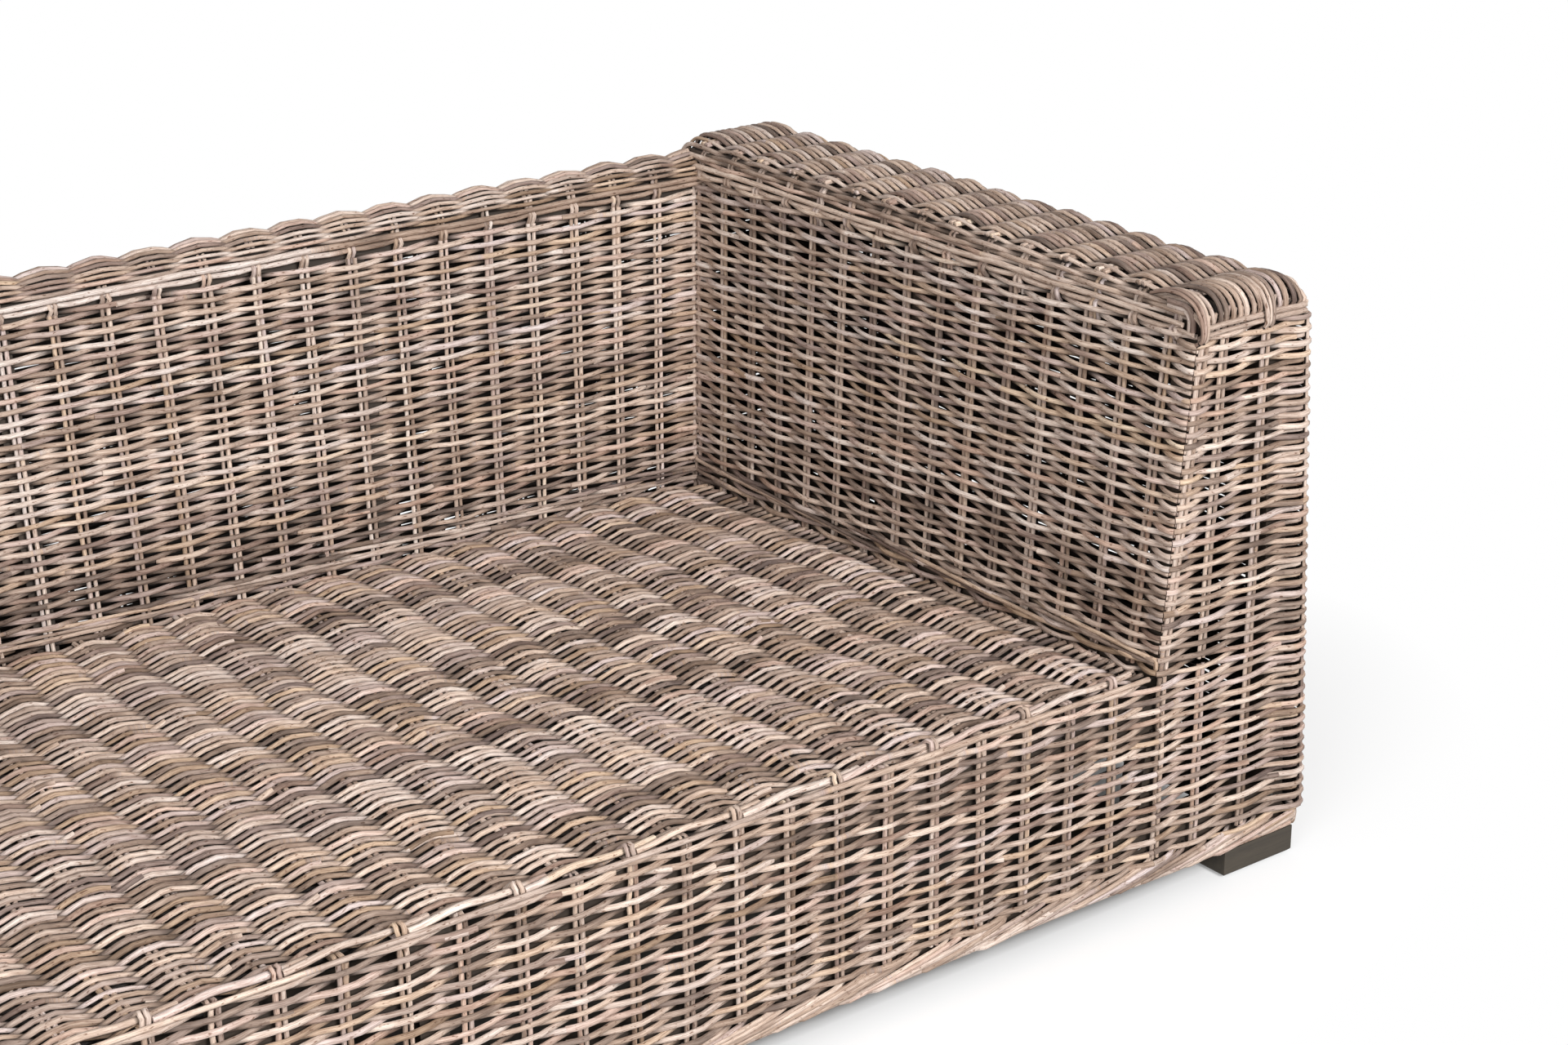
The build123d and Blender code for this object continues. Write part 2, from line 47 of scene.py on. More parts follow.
def feed(tree, socket, value):
    """Give an input of a node a link or a plain value."""
    if isinstance(value, bpy.types.NodeSocket):
        tree.links.new(value, socket)
    else:
        socket.default_value = value


def put(tree, kind, **inputs):
    """Node of a kind in a tree, with a link or a plain value on each input that is named."""
    node = tree.nodes.new(kind)
    for label, value in inputs.items():
        feed(tree, node.inputs[label.replace("_", " ")], value)
    return node


def reckoned(tree, operation, *values, kind="ShaderNodeMath", result="Value"):
    """Result of one sum on links or plain values."""
    node = tree.nodes.new(kind)
    node.operation = operation
    for socket, value in zip(node.inputs, values):
        feed(tree, socket, value)
    return node.outputs[result]


def placed(tree, operation, *places, result="Vector"):
    """Result of one sum on places."""
    return reckoned(tree, operation, *places, kind="ShaderNodeVectorMath", result=result)


def on_piece(tree):
    """Place on the piece itself."""
    return tree.nodes.new("ShaderNodeTexCoord").outputs["Object"]


def noise(tree, place, scale, detail, roughness=0.5, distortion=0.0):
    """Smooth noise over a place."""
    node = put(tree, "ShaderNodeTexNoise", Vector=place, Scale=scale, Detail=detail, Roughness=roughness,
               Distortion=distortion)
    return node.outputs["Fac"]


def limited(tree, factor, low, high, **ends):
    """Factor stretched from between two limits to between 0 and 1, or to other ends, and held there."""
    node = put(tree, "ShaderNodeMapRange", Value=factor, From_Min=low, From_Max=high, **ends)
    return node.outputs["Result"]


def mixed(tree, blend, factor, under, over):
    """Colour mixed from two."""
    node = tree.nodes.new("ShaderNodeMix")
    node.data_type = "RGBA"
    node.blend_type = blend
    for label, value in (("Factor", factor), ("A", under), ("B", over)):
        feed(tree, node.inputs[label], value)
    return node.outputs["Result"]


def shades(tree, factor, stops):
    """Colours over a factor, with a colour at each place."""
    ramp = put(tree, "ShaderNodeValToRGB", Fac=factor)
    knots = ramp.color_ramp.elements
    for knot, (place, colour) in zip(knots, (stops[0], stops[-1])):
        knot.position = place
        knot.color = (*colour, 1)
    for place, colour in stops[1:-1]:
        knots.new(place).color = (*colour, 1)
    return ramp.outputs["Color"]


def group_tree(name, sockets_in, sockets_out):
    """Node group with named float, colour or vector sockets."""
    tree = bpy.data.node_groups.new(name, "ShaderNodeTree")
    for way, sockets in (("INPUT", sockets_in), ("OUTPUT", sockets_out)):
        for label, kind in sockets.items():
            tree.interface.new_socket(label, in_out=way, socket_type="NodeSocket" + kind)
    return tree, tree.nodes.new("NodeGroupInput").outputs, tree.nodes.new("NodeGroupOutput").inputs


def follow(tree, pattern, **inputs):
    """Outputs of a shared pattern, with a link on each of its inputs."""
    node = tree.nodes.new("ShaderNodeGroup")
    node.node_tree = pattern
    for label, value in inputs.items():
        feed(tree, node.inputs[label], value)
    return node.outputs


def new_material(name, roughness, metallic=0.0):
    """Node material with its tree and the inputs of its surface shader."""
    material = bpy.data.materials.new(name)
    material.use_nodes = True
    surface = material.node_tree.nodes["Principled BSDF"].inputs
    surface["Roughness"].default_value = roughness
    surface["Metallic"].default_value = metallic
    return material, material.node_tree, surface


def give_relief(tree, surface, height, strength, distance):
    """Give a surface the fine relief of a pattern."""
    relief = put(tree, "ShaderNodeBump", Strength=strength, Distance=distance, Height=height)
    feed(tree, surface["Normal"], relief.outputs[0])


def wood_grain():
    """Grain of sawn wood along X: a tone and a height that change over the surface."""
    tree, given, result = group_tree("wood grain", {"Place": "Vector"}, {"Tone": "Float", "Height": "Float"})
    stretched = placed(tree, "MULTIPLY", given["Place"], (1, 14, 14))
    rings = noise(tree, stretched, 9, 5, 0.6, 0.4)
    pores = noise(tree, stretched, 60, 3, 0.7)
    feed(tree, result["Tone"], reckoned(tree, "MULTIPLY_ADD", pores, 0.35, rings))
    feed(tree, result["Height"], pores)
    return tree


grain = wood_grain()


def wood(name, dark, light, roughness, turned=(0, 0, 0)):
    """Wood with grain along X, or along another way when the pattern is turned."""
    material, tree, surface = new_material(name, roughness)
    turn = put(tree, "ShaderNodeMapping", Vector=on_piece(tree), Rotation=turned)
    pattern = follow(tree, grain, Place=turn.outputs[0])
    feed(tree, surface["Base Color"], shades(tree, pattern["Tone"], [(0.4, dark), (0.9, light)]))
    give_relief(tree, surface, pattern["Height"], strength=0.25, distance=0.0004)
    return material


def give(names, material):
    """Finish some CAD nodes with one material."""
    for name in names:
        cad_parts[name].data.materials.clear()
        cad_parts[name].data.materials.append(material)


give([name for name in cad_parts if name.startswith(("foot_front", "foot_rear"))],
     wood("foot stain", *foot_tones, 0.65))

# Glides
# Round grey plastic discs pressed under the feet, moulded with a fine matt texture.


def speckled(name, dark, light, scale, detail, roughness, metallic=0.0):
    """Material with fine speckles between two tones."""
    material, tree, surface = new_material(name, roughness, metallic)
    speckles = noise(tree, on_piece(tree), scale, detail)
    feed(tree, surface["Base Color"], shades(tree, speckles, [(0.3, dark), (0.7, light)]))
    return material


give(["foot_glides"], speckled("glide plastic", (0.10, 0.10, 0.10), (0.16, 0.16, 0.15), 900, 2, 0.6))

# Wooden frame
# Planed hardwood bars, stained dark inside the cane: the base ring and its blocks, the posts and studs, and
# the rails, slats and ribs that carry the skins.
frame_tones = ((0.020, 0.013, 0.009), (0.050, 0.034, 0.023))
frame_roughness = 0.7
give(["base_rail_front", "base_rail_rear", "seat_rail_front", "seat_rail_middle", "seat_rail_rear",
      "back_top_rail", "arm_cross_rails", "corner_blocks"],
     wood("frame wood", *frame_tones, frame_roughness))
give(["base_rail_left", "base_rail_right", "base_rail_middle", "base_rail_inner_left",
      "base_rail_inner_right", "arm_rail_outer_left", "arm_rail_outer_right", "arm_rail_inner_left",
      "arm_rail_inner_right", "seat_rail_left", "seat_rail_right", "seat_slats"],
     wood("frame wood lengthwise", *frame_tones, frame_roughness, (0, 0, pi / 2)))
posts = [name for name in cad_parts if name.startswith("post_") and name != "post_screws"]
give([*posts, "arm_studs", "seat_studs", "back_ribs"],
     wood("frame wood upright", *frame_tones, frame_roughness, (0, pi / 2, 0)))

# Screws
# Zinc-plated steel screws with flat heads, driven through the base rails, the posts and the feet.
give(["foot_screws", "post_screws", "rail_screws"],
     speckled("screw steel", (0.42, 0.42, 0.40), (0.62, 0.61, 0.58), 400, 3, 0.38, 1.0))

# Cane
# Whole unpeeled climbing-palm canes about 6 mm thick, weathered grey-brown. Each is a round stem with fine
# fibres along it, dark rings at its nodes, small scars, and a tone of its own. Painted shade darkens its
# inner side and the parts deep in the weave, and painted light brightens its outer side.
cane_radius = 0.0032
cane_sides = 6
cane_spacing = 4
cane_run_length = 0.55
girth_step = 0.12
girth_drift = 0.07
girth_spread = 0.06
girth_limits = (0.78, 1.24)
pattern_spread = 40
pattern_run_step = 3.7
pattern_row_step = 0.05
# Painted light on the outer side of each cane, painted shade on its inner side.
outer_light = 0.12
inner_shade = 0.9


def cane_pattern():
    """Colour, gloss and height of a cane, from its place when straight, its own tone and its painted shade.
    """
    tree, given, result = group_tree("cane pattern", {"Place": "Vector", "Tone": "Float", "Depth": "Float"},
                                     {"Color": "Color", "Roughness": "Float", "Height": "Float"})

    def stretched(*factors):
        return placed(tree, "MULTIPLY", given["Place"], factors)

    def stained(amount, colour, stain):
        return mixed(tree, "MULTIPLY", amount, colour, stain)

    patches = noise(tree, stretched(16, 60, 60), 1, 3, 0.6)
    fibres = noise(tree, stretched(60, 1500, 1500), 1, 3, 0.65)
    scars = noise(tree, stretched(160, 420, 420), 1, 2, 0.5)
    nodes = put(tree, "ShaderNodeTexVoronoi", Vector=stretched(6, 0.001, 0.001), Scale=1)
    own = reckoned(tree, "MULTIPLY_ADD", given["Tone"], 0.54, -0.14)
    body = shades(tree, reckoned(tree, "MULTIPLY_ADD", patches, 0.76, own), [
        (0.08, (0.150, 0.108, 0.086)),
        (0.28, (0.360, 0.268, 0.212)),
        (0.50, (0.580, 0.455, 0.374)),
        (0.70, (0.735, 0.610, 0.525)),
        (0.90, (0.850, 0.752, 0.675)),
    ])
    tint = shades(tree, reckoned(tree, "FRACT", reckoned(tree, "MULTIPLY", given["Tone"], 7.3)), [
        (0.00, (1.00, 0.93, 0.79)),
        (0.13, (1.00, 0.97, 0.93)),
        (0.45, (1.00, 1.00, 1.00)),
        (0.70, (0.95, 0.97, 1.00)),
        (0.84, (0.88, 0.89, 0.98)),
        (1.00, (1.00, 0.90, 0.85)),
    ])
    colour = stained(1, body, tint)
    colour = stained(limited(tree, fibres, 0.60, 0.34), colour, (0.50, 0.42, 0.38, 1))
    colour = stained(limited(tree, scars, 0.61, 0.72), colour, (0.38, 0.28, 0.23, 1))
    colour = stained(limited(tree, nodes.outputs["Distance"], 0.022, 0.010), colour, (0.26, 0.19, 0.15, 1))
    # Painted shade: the colour darkens towards black with the painted shade that each point carries.
    colour = stained(limited(tree, given["Depth"], 0.45, 0.87), colour, (0.025, 0.018, 0.014, 1))
    feed(tree, result["Color"], colour)
    feed(tree, result["Roughness"], limited(tree, fibres, -0.7, 1.1))
    feed(tree, result["Height"], fibres)
    return tree


pattern_of_cane = cane_pattern()


def cane_finish(name):
    """Material of canes, which follows each cane by the attributes it carries."""
    material, tree, surface = new_material(name, 0.5)

    def carried(attribute, output):
        reader = tree.nodes.new("ShaderNodeAttribute")
        reader.attribute_name = attribute
        return reader.outputs[output]

    # The depth attribute carries each point's painted shade.
    pattern = follow(tree, pattern_of_cane, Place=carried("laid", "Vector"), Tone=carried("tone", "Fac"),
                     Depth=carried("depth", "Fac"))
    feed(tree, surface["Base Color"], pattern["Color"])
    feed(tree, surface["Roughness"], pattern["Roughness"])
    give_relief(tree, surface, pattern["Height"], strength=0.35, distance=0.0006)
    surface["Specular IOR Level"].default_value = 0.35
    return material


woven_cane = cane_finish("woven cane")


def straight_canes(name, count, rings):
    """Straight canes side by side, cut into rings, with one metre from ring to ring until they are bent."""
    bpy.ops.object.select_all(action="DESELECT")
    bpy.ops.mesh.primitive_cylinder_add(vertices=cane_sides, radius=1, depth=rings - 1,
                                        location=((rings - 1) / 2, 0, 0), rotation=(0, pi / 2, 0))
    piece = bpy.context.object
    piece.name = name
    bpy.ops.object.transform_apply()
    bpy.ops.object.mode_set(mode="EDIT")
    bpy.ops.mesh.select_mode(type="EDGE")
    bpy.ops.mesh.select_all(action="DESELECT")
    bpy.ops.object.mode_set(mode="OBJECT")
    for edge in piece.data.edges:
        ends = [piece.data.vertices[corner].co.x for corner in edge.vertices]
        edge.select = abs(ends[0] - ends[1]) > 0.5
    bpy.ops.object.mode_set(mode="EDIT")
    bpy.ops.mesh.subdivide(number_cuts=rings - 2)
    bpy.ops.object.mode_set(mode="OBJECT")
    side_by_side = piece.modifiers.new("side by side", "ARRAY")
    side_by_side.use_relative_offset = False
    side_by_side.use_constant_offset = True
    side_by_side.constant_offset_displace = (0, cane_spacing, 0)
    side_by_side.count = count
    bpy.ops.object.modifier_apply(modifier=side_by_side.name)
    return piece


def drift(rng, places, step, size):
    """Smooth random drift along each row, with a new value at every step."""
    knots = np.arange(places.min() - step, places.max() + 2 * step, step)
    values = rng.normal(0, size, (len(places), len(knots)))
    return np.array([np.interp(place, knots, value) for place, value in zip(places, values)])


def distance_along(lines):
    """Distance from its start to each point of each line."""
    steps = np.linalg.norm(np.diff(lines, axis=1), axis=2)
    return np.concatenate([np.zeros((len(lines), 1)), np.cumsum(steps, axis=1)], axis=1)


def bend_canes(name, node, lines, outward, seed, radius=cane_radius, depth=0.0, tone_shift=0.0,
               run=cane_run_length):
    """Canes that follow lines, with a row of points for each cane, and show one CAD node."""
    rows, rings = lines.shape[:2]
    rng = np.random.default_rng(seed)
    piece = straight_canes(name, rows, rings)
    mesh = piece.data
    flat = np.empty(len(mesh.vertices) * 3)
    mesh.vertices.foreach_get("co", flat)
    flat = flat.reshape(-1, 3)
    ring = np.clip(np.rint(flat[:, 0]).astype(int), 0, rings - 1)
    row = np.rint(flat[:, 1] / cane_spacing).astype(int)
    side_y = flat[:, 1] - row * cane_spacing
    side_z = flat[:, 2]
    along = np.gradient(lines, axis=1)
    along /= np.linalg.norm(along, axis=2, keepdims=True)
    across = np.cross(outward, along)
    across /= np.linalg.norm(across, axis=2, keepdims=True)
    up = np.cross(along, across)
    travelled = distance_along(lines)
    girth = 1 + drift(rng, travelled, girth_step, girth_drift) + rng.normal(0, girth_spread, (rows, 1))
    girth = np.clip(girth, *girth_limits) * radius
    bent = (lines[row, ring] + across[row, ring] * (side_y * girth[row, ring])[:, None]
            + up[row, ring] * (side_z * girth[row, ring])[:, None])
    mesh.vertices.foreach_set("co", bent.ravel())
    runs = np.floor(travelled / run + rng.uniform(0, 1, (rows, 1))).astype(int)
    tones = rng.uniform(0, 1, (rows, runs.max() + 1))
    tone = np.take_along_axis(tones, runs, axis=1) + tone_shift
    offsets = rng.uniform(0, pattern_spread, (rows, 1)) + runs * pattern_run_step
    laid = np.stack([(travelled + offsets)[row, ring], side_y * radius + row * pattern_row_step,
                     side_z * radius], axis=1)
    # Painted shade from depth, plus painted light on the outer side and painted shade on the inner side.
    sunk = np.broadcast_to(np.asarray(depth, dtype=float), (rows, rings))[row, ring]
    sunk = sunk - outer_light * side_z + inner_shade * np.clip(-side_z, 0, 1)
    for label, kind, field, values in (("laid", "FLOAT_VECTOR", "vector", laid),
                                       ("tone", "FLOAT", "value", tone[row, ring]),
                                       ("depth", "FLOAT", "value", sunk)):
        mesh.attributes.new(label, kind, "POINT").data.foreach_set(field, values.ravel())
    mesh.update()
    bpy.ops.object.shade_smooth_by_angle(angle=radians(75))
    mesh.materials.append(woven_cane)
    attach(piece, "root")
    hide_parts(node)


# Arm fronts
# Canes woven by hand over pairs of upright stakes. The rows are level and run on round the corners of the
# sofa, so a pair of stakes stands right at each corner. Near a corner the rows swing out to its edge.
width = 2.2
depth = 0.925
arm_height = 0.684
back_height = 0.668
skirt_gap = 0.034
seat_front_height = 0.285
seat_rear_height = 0.268
seat_half_width = 0.862
seat_depth = 0.828
arm_outer_lean = 0.039
arm_inner_lean = 0.044
back_lean = 0.051
front = -depth / 2
rear = depth / 2
first_row_foot = 0.0583
row_pitch = 0.00645
row_count = 90
apron_drop = 0.005
row_waves = ((0.0014, 7, 9, 38, 0), (0.0009, 13, -17, -61, 1), (0.0006, 31, 27, 97, 2))
relief_drift = (0.06, 0.08)
row_drift = (0.08, 0.0007)
stake_radius = 0.0027
stake_spread = 0.0035
stake_wander = 0.0006
stake_rings = 12
stakes_per_splice = 15
splice_rings = 9
splice_lifts = (-0.001, 0.0022)
splice_light = 0.1
skin_relief = 0.0120
corner_calm = 0.5
corner_reach = 0.016
corner_push = 0.0102
stake_push = 1.1
push_reach = 0.022
inner_corner_push = 0.0020
inset = skin_relief / 2 + cane_radius
corner_radius = 0.005
corner_cuts = [0, 0.045, 0.09, 0.135, 0.22, 0.35, 0.5, 0.65, 0.78, 0.89]
LEFT = np.array([-1.0, 0.0, 0.0])
RIGHT = np.array([1.0, 0.0, 0.0])
FORWARD = np.array([0.0, -1.0, 0.0])
BACKWARD = np.array([0.0, 1.0, 0.0])
UP = np.array([0.0, 0.0, 1.0])
MIRROR = np.array([-1.0, 1.0, 1.0])
SIDES = (("right", 0, 1), ("left", 1, MIRROR))


def outer_x(z):
    """Outer face of the right arm."""
    return width / 2 - arm_outer_lean * (z - skirt_gap) / (arm_height - skirt_gap)


def inner_x(z):
    """Inner face of the right arm."""
    return seat_half_width + arm_inner_lean * (z - seat_front_height) / (arm_height - seat_front_height)


def back_y(z):
    """Inner face of the back."""
    return front + seat_depth + back_lean * (z - seat_rear_height) / (back_height - seat_rear_height)


def seat_z(y):
    """Top of the woven seat."""
    return seat_front_height - (seat_front_height - seat_rear_height) * (y - front) / seat_depth


def points(x, y, z):
    """Points from arrays, or plain numbers, of their three places."""
    return np.stack(np.broadcast_arrays(x, y, z), axis=-1).astype(float)


def waves(x, y, z, table):
    """Sum of smooth waves, each with its size, its radians per metre along X, Y and Z, and its start."""
    return sum(size * np.sin(along_x * x + along_y * y + along_z * z + start)
               for size, along_x, along_y, along_z, start in table)


def turned_run(start, end, normal, distance, bends, radius=corner_radius):
    """Level run from corner to corner, with the outward way. A bend is 1 outwards, -1 inwards, 0 none."""
    start = start[..., None, :]
    end = end[..., None, :]
    way = end - start
    length = np.linalg.norm(way, axis=-1, keepdims=True)
    way = way / length
    distance = distance[..., None]
    place = start + way * distance
    out = np.broadcast_to(normal, place.shape).astype(float)
    for corner, inward, bend, gone in ((start, way, bends[0], distance),
                                       (end, -way, bends[1], length - distance)):
        if bend == 0:
            continue
        angle = np.clip(1 - gone / radius, 0, 1) * pi / 4
        centre = corner + radius * inward - bend * radius * normal
        arc = centre + radius * (-np.sin(angle) * inward + bend * np.cos(angle) * normal)
        turned = -bend * np.sin(angle) * inward + np.cos(angle) * normal
        close = gone < radius
        place = np.where(close, arc, place)
        out = np.where(close, turned, out)
    return place, out


def near_corners(distance, length, amounts, reach):
    """Amounts that fade away from both corners of a run."""
    return (amounts[0] * np.exp(-(distance / reach) ** 2)
            + amounts[1] * np.exp(-((length - distance) / reach) ** 2))


def weave(seed, middle, out, across, turns, over, relief, peak=1.0):
    """Canes over and under the stakes: their lines, and how deep each point lies."""
    rng = np.random.default_rng(seed)
    travelled = distance_along(middle)
    crest = ((1 + np.cos(pi * (turns + over[:, None]))) / 2) ** peak
    height = relief * (crest - 0.5) * (1 + drift(rng, travelled, *relief_drift))
    wander = drift(rng, travelled, *row_drift) + waves(*np.moveaxis(middle, -1, 0), row_waves)
    lines = middle + out * height[..., None] + across * wander[..., None]
    return lines, 1 - crest


def phases(gaps, sharp=(True, True), cuts=6):
    """Places of the rings between the stakes, closer together next to a corner."""
    found = []
    for gap in range(gaps):
        if gap == 0 and sharp[0]:
            steps = corner_cuts
        elif gap == gaps - 1 and sharp[1]:
            steps = [0] + [1 - cut for cut in reversed(corner_cuts[1:])]
        else:
            steps = [step / cuts for step in range(cuts)]
        found += [gap + step for step in steps]
    return np.array(found + [gaps], dtype=float)


def stake_pairs(name, node, middle, out, seed, spread=stake_spread, radius=stake_radius, tone_shift=0.0,
                sunk=0.45):
    """Pairs of stakes side by side, each pair along one row of points."""
    rng = np.random.default_rng(seed)
    kept = np.linspace(0, middle.shape[1] - 1, min(stake_rings, middle.shape[1])).round().astype(int)
    out = np.broadcast_to(out, middle.shape)[:, kept]
    middle = middle[:, kept]
    beside = np.cross(out, np.gradient(middle, axis=1))
    beside /= np.linalg.norm(beside, axis=2, keepdims=True)
    lines = []
    for way in (-1, 1):
        wander = rng.normal(0, stake_wander, middle.shape[:2])
        lines.append(middle + beside * (way * spread + wander)[..., None])
    # sunk sets the stakes' painted shade.
    bend_canes(name, node, np.concatenate(lines), np.concatenate([out, out]), seed + 1, radius=radius,
               depth=sunk, tone_shift=tone_shift)


def splices(name, node, lines, out, sunk, count, seed, radius, tone_shift):
    """New canes laid over the end of a used-up one here and there, each with a cut end that shows."""
    rng = np.random.default_rng(seed + 700)
    row = rng.integers(0, len(lines), count)[:, None]
    ring = rng.integers(1, lines.shape[1] - splice_rings - 1, count)[:, None] + np.arange(splice_rings)
    proud = np.linspace(*splice_lifts, splice_rings)
    shift = tone_shift if np.isscalar(tone_shift) else tone_shift[row[:, 0]]
    out = np.broadcast_to(out, lines.shape)[row, ring]
    # Splices lie on top, so they get less painted shade than the canes beneath.
    bend_canes(name, node, lines[row, ring] + out * proud[:, None], out, seed + 701, radius=radius,
               depth=sunk[row, ring] - splice_light, tone_shift=shift)


def panel(name, node, start, end, normal, stakes, over, seed, bends, flip=1, first_turn=0, stood=slice(None),
          relief=skin_relief, radius=cane_radius, cuts=6, tone_shift=-0.1, stake_tone=-0.15,
          first_aside=0.0, push=(0.0, 0.0)):
    """One flat woven panel between two corners, at the levels of its rows, with its stakes."""
    turns = phases(stakes.shape[1] - 1, cuts=cuts)
    distance = np.array([np.interp(turns, np.arange(stakes.shape[1]), row) for row in stakes])
    length = np.linalg.norm(end - start, axis=-1)[:, None]

    def pushed_run(distance, share):
        place, out = turned_run(start, end, normal, distance, bends)
        pushed = place + share * out * near_corners(distance, length, push, push_reach)[..., None]
        return pushed * flip, out * flip

    standing = stakes[:, stood] + 0.0
    standing[:, 0] += first_aside
    upright, out = pushed_run(standing, stake_push)
    stake_pairs(name.replace("canes", "stakes"), node, upright.transpose(1, 0, 2), out.transpose(1, 0, 2),
                seed + 900, tone_shift=stake_tone)
    middle, out = pushed_run(distance, 1)
    calm = near_corners(distance, length, [corner_calm * abs(bend) for bend in bends], corner_reach)
    lines, sunk = weave(seed, middle, out, UP, turns + first_turn, over, relief * (1 - calm))
    # Near the corners the rows lie level, so their painted shade fades there.
    sunk = sunk * (1 - calm)
    bend_canes(name, node, lines, out, seed + 500, radius=radius, depth=sunk, tone_shift=tone_shift)
    splice_count = round(len(lines) * (stakes.shape[1] - 1) / stakes_per_splice)
    splices(name + "_splices", node, lines, out, sunk, splice_count, seed, radius, tone_shift)


levels = first_row_foot + (np.arange(row_count) + 0.5) * row_pitch
over_rows = np.arange(row_count) % 2
low = levels < seat_front_height - apron_drop
high = ~low
face_x = np.where(low, seat_half_width, inner_x(levels))
inner_corner = points(face_x + inset, front + inset, levels)
outer_corner = points(outer_x(levels) - inset, front + inset, levels)
rear_corner = points(outer_x(levels) - inset, rear - inset, levels)
leaning_stake_x = 0.936
leaning_stake_lean = 0.014
upright_stake_x = 1.007
first_stake_aside = 0.008
risen = np.clip((levels - seat_front_height) / (arm_height - seat_front_height), 0, 1)
front_stakes = np.stack([inner_corner[:, 0], leaning_stake_x + leaning_stake_lean * risen,
                         0 * levels + upright_stake_x, outer_corner[:, 0]], axis=1) - inner_corner[:, :1]
for side, number, flip in SIDES:
    for part, rows, bend in (("low", low, 0), ("high", high, 1)):
        panel(f"arm_front_canes_{part}_{side}", f"arm_front_weave_{side}", inner_corner[rows],
              outer_corner[rows], FORWARD, front_stakes[rows], over_rows[rows], 21 + number, (bend, 1), flip,
              first_aside=first_stake_aside, push=(bend * inner_corner_push, corner_push))

# Arm outer sides
# The same rows run on over the outer side of each arm, from corner to corner, packed a little closer.
side_gaps = 15
close_relief = 0.0056
close_radius = 0.0042
side_stakes = (rear_corner[:, 1] - outer_corner[:, 1])[:, None] * np.linspace(0, 1, side_gaps + 1)
for side, number, flip in SIDES:
    panel(f"arm_outer_canes_{side}", f"arm_outer_weave_{side}", outer_corner, rear_corner, RIGHT,
          side_stakes, over_rows, 31 + number, (1, 1), flip, first_turn=3, stood=slice(1, None),
          relief=close_relief, radius=close_radius, push=(corner_push, corner_push))

# Rear
# One plain panel covers the whole rear from arm to arm, woven like the outer sides.
rear_gaps = 36
rear_stakes = (rear_corner[:, 0] * 2)[:, None] * np.linspace(0, 1, rear_gaps + 1)
panel("rear_canes", "rear_weave", rear_corner, rear_corner * MIRROR, BACKWARD, rear_stakes, over_rows, 41,
      (1, 1), first_turn=18, stood=slice(1, -1), relief=close_relief, radius=close_radius, cuts=4,
      push=(corner_push, corner_push))

# Apron
# The front below the seat, woven in line with the arm fronts on either side.
apron_gaps = 29
apron_stakes = np.broadcast_to(np.linspace(0, 2 * (seat_half_width + inset), apron_gaps + 1),
                               (low.sum(), apron_gaps + 1))
panel("apron_canes", "apron_weave", inner_corner[low] * MIRROR, inner_corner[low], FORWARD, apron_stakes,
      over_rows[low], 51, (0, 0), first_turn=-apron_gaps, stood=slice(1, -1))

# Arm inner sides
# The rows of the arm fronts turn in and run back along the seat. The lowest ones start behind the front and
# lie beside the seat, where its canes pass under them. Towards the seat painted shade darkens the canes.
hidden_foot = 0.242
hidden_start = 0.022
first_stake = 0.041
stake_pitch = 0.0596
inner_span = 0.875
inner_tone = 0.12
seat_shade = 0.50
seat_shade_height = 0.14
inner_stake_tone = -0.25
beside_seat = levels > hidden_foot
inner_front = points(inner_x(levels) + inset, front + inset, levels)
back_corner = points(inner_x(levels) + inset, back_y(levels) + inset, levels)
inner_length = back_corner[:, 1] - inner_front[:, 1]
stake_share = np.concatenate([[0], (first_stake + np.arange(14) * stake_pitch) / inner_span, [1]])
inner_stakes = inner_length[:, None] * stake_share
foot_rows = beside_seat & low
foot_start = inner_front + BACKWARD * hidden_start
foot_stakes = np.clip(inner_stakes - hidden_start, 0, None)
# Painted shade: the canes' tone falls towards the seat.
painted_seat_shade = np.clip(1 - (levels - seat_rear_height) / seat_shade_height, 0, 1)[:, None]
painted_seat_shade = inner_tone - seat_shade * painted_seat_shade
for side, number, flip in SIDES:
    for part, rows, begin, stakes, bend, push, seed in (
            ("", high, inner_front, inner_stakes, 1, inner_corner_push, 61),
            ("_foot", foot_rows, foot_start, foot_stakes, 0, 0.0, 65)):
        panel(f"arm_inner{part}_canes_{side}", f"arm_inner_weave_{side}", begin[rows], back_corner[rows],
              LEFT, stakes[rows], over_rows[rows], seed + number, (bend, -1), flip, stood=slice(1, None),
              tone_shift=painted_seat_shade[rows], stake_tone=inner_stake_tone, push=(push, 0.0))

# Back
# The rows of the arms' inner sides turn once more and cross the reclined back.
back_gaps = 30
back_top_drop = 0.0485
back_rows = beside_seat & (levels < back_height - back_top_drop)
back_stakes = (back_corner[:, 0] * 2)[:, None] * np.linspace(0, 1, back_gaps + 1)
# Towards the seat painted shade darkens the back's canes, as on the arms' inner sides.
panel("back_inner_canes", "back_inner_weave", back_corner[back_rows], back_corner[back_rows] * MIRROR,
      FORWARD, back_stakes[back_rows], over_rows[back_rows], 71, (-1, -1), first_turn=15,
      stood=slice(1, -1), tone_shift=painted_seat_shade[back_rows], stake_tone=0.15)

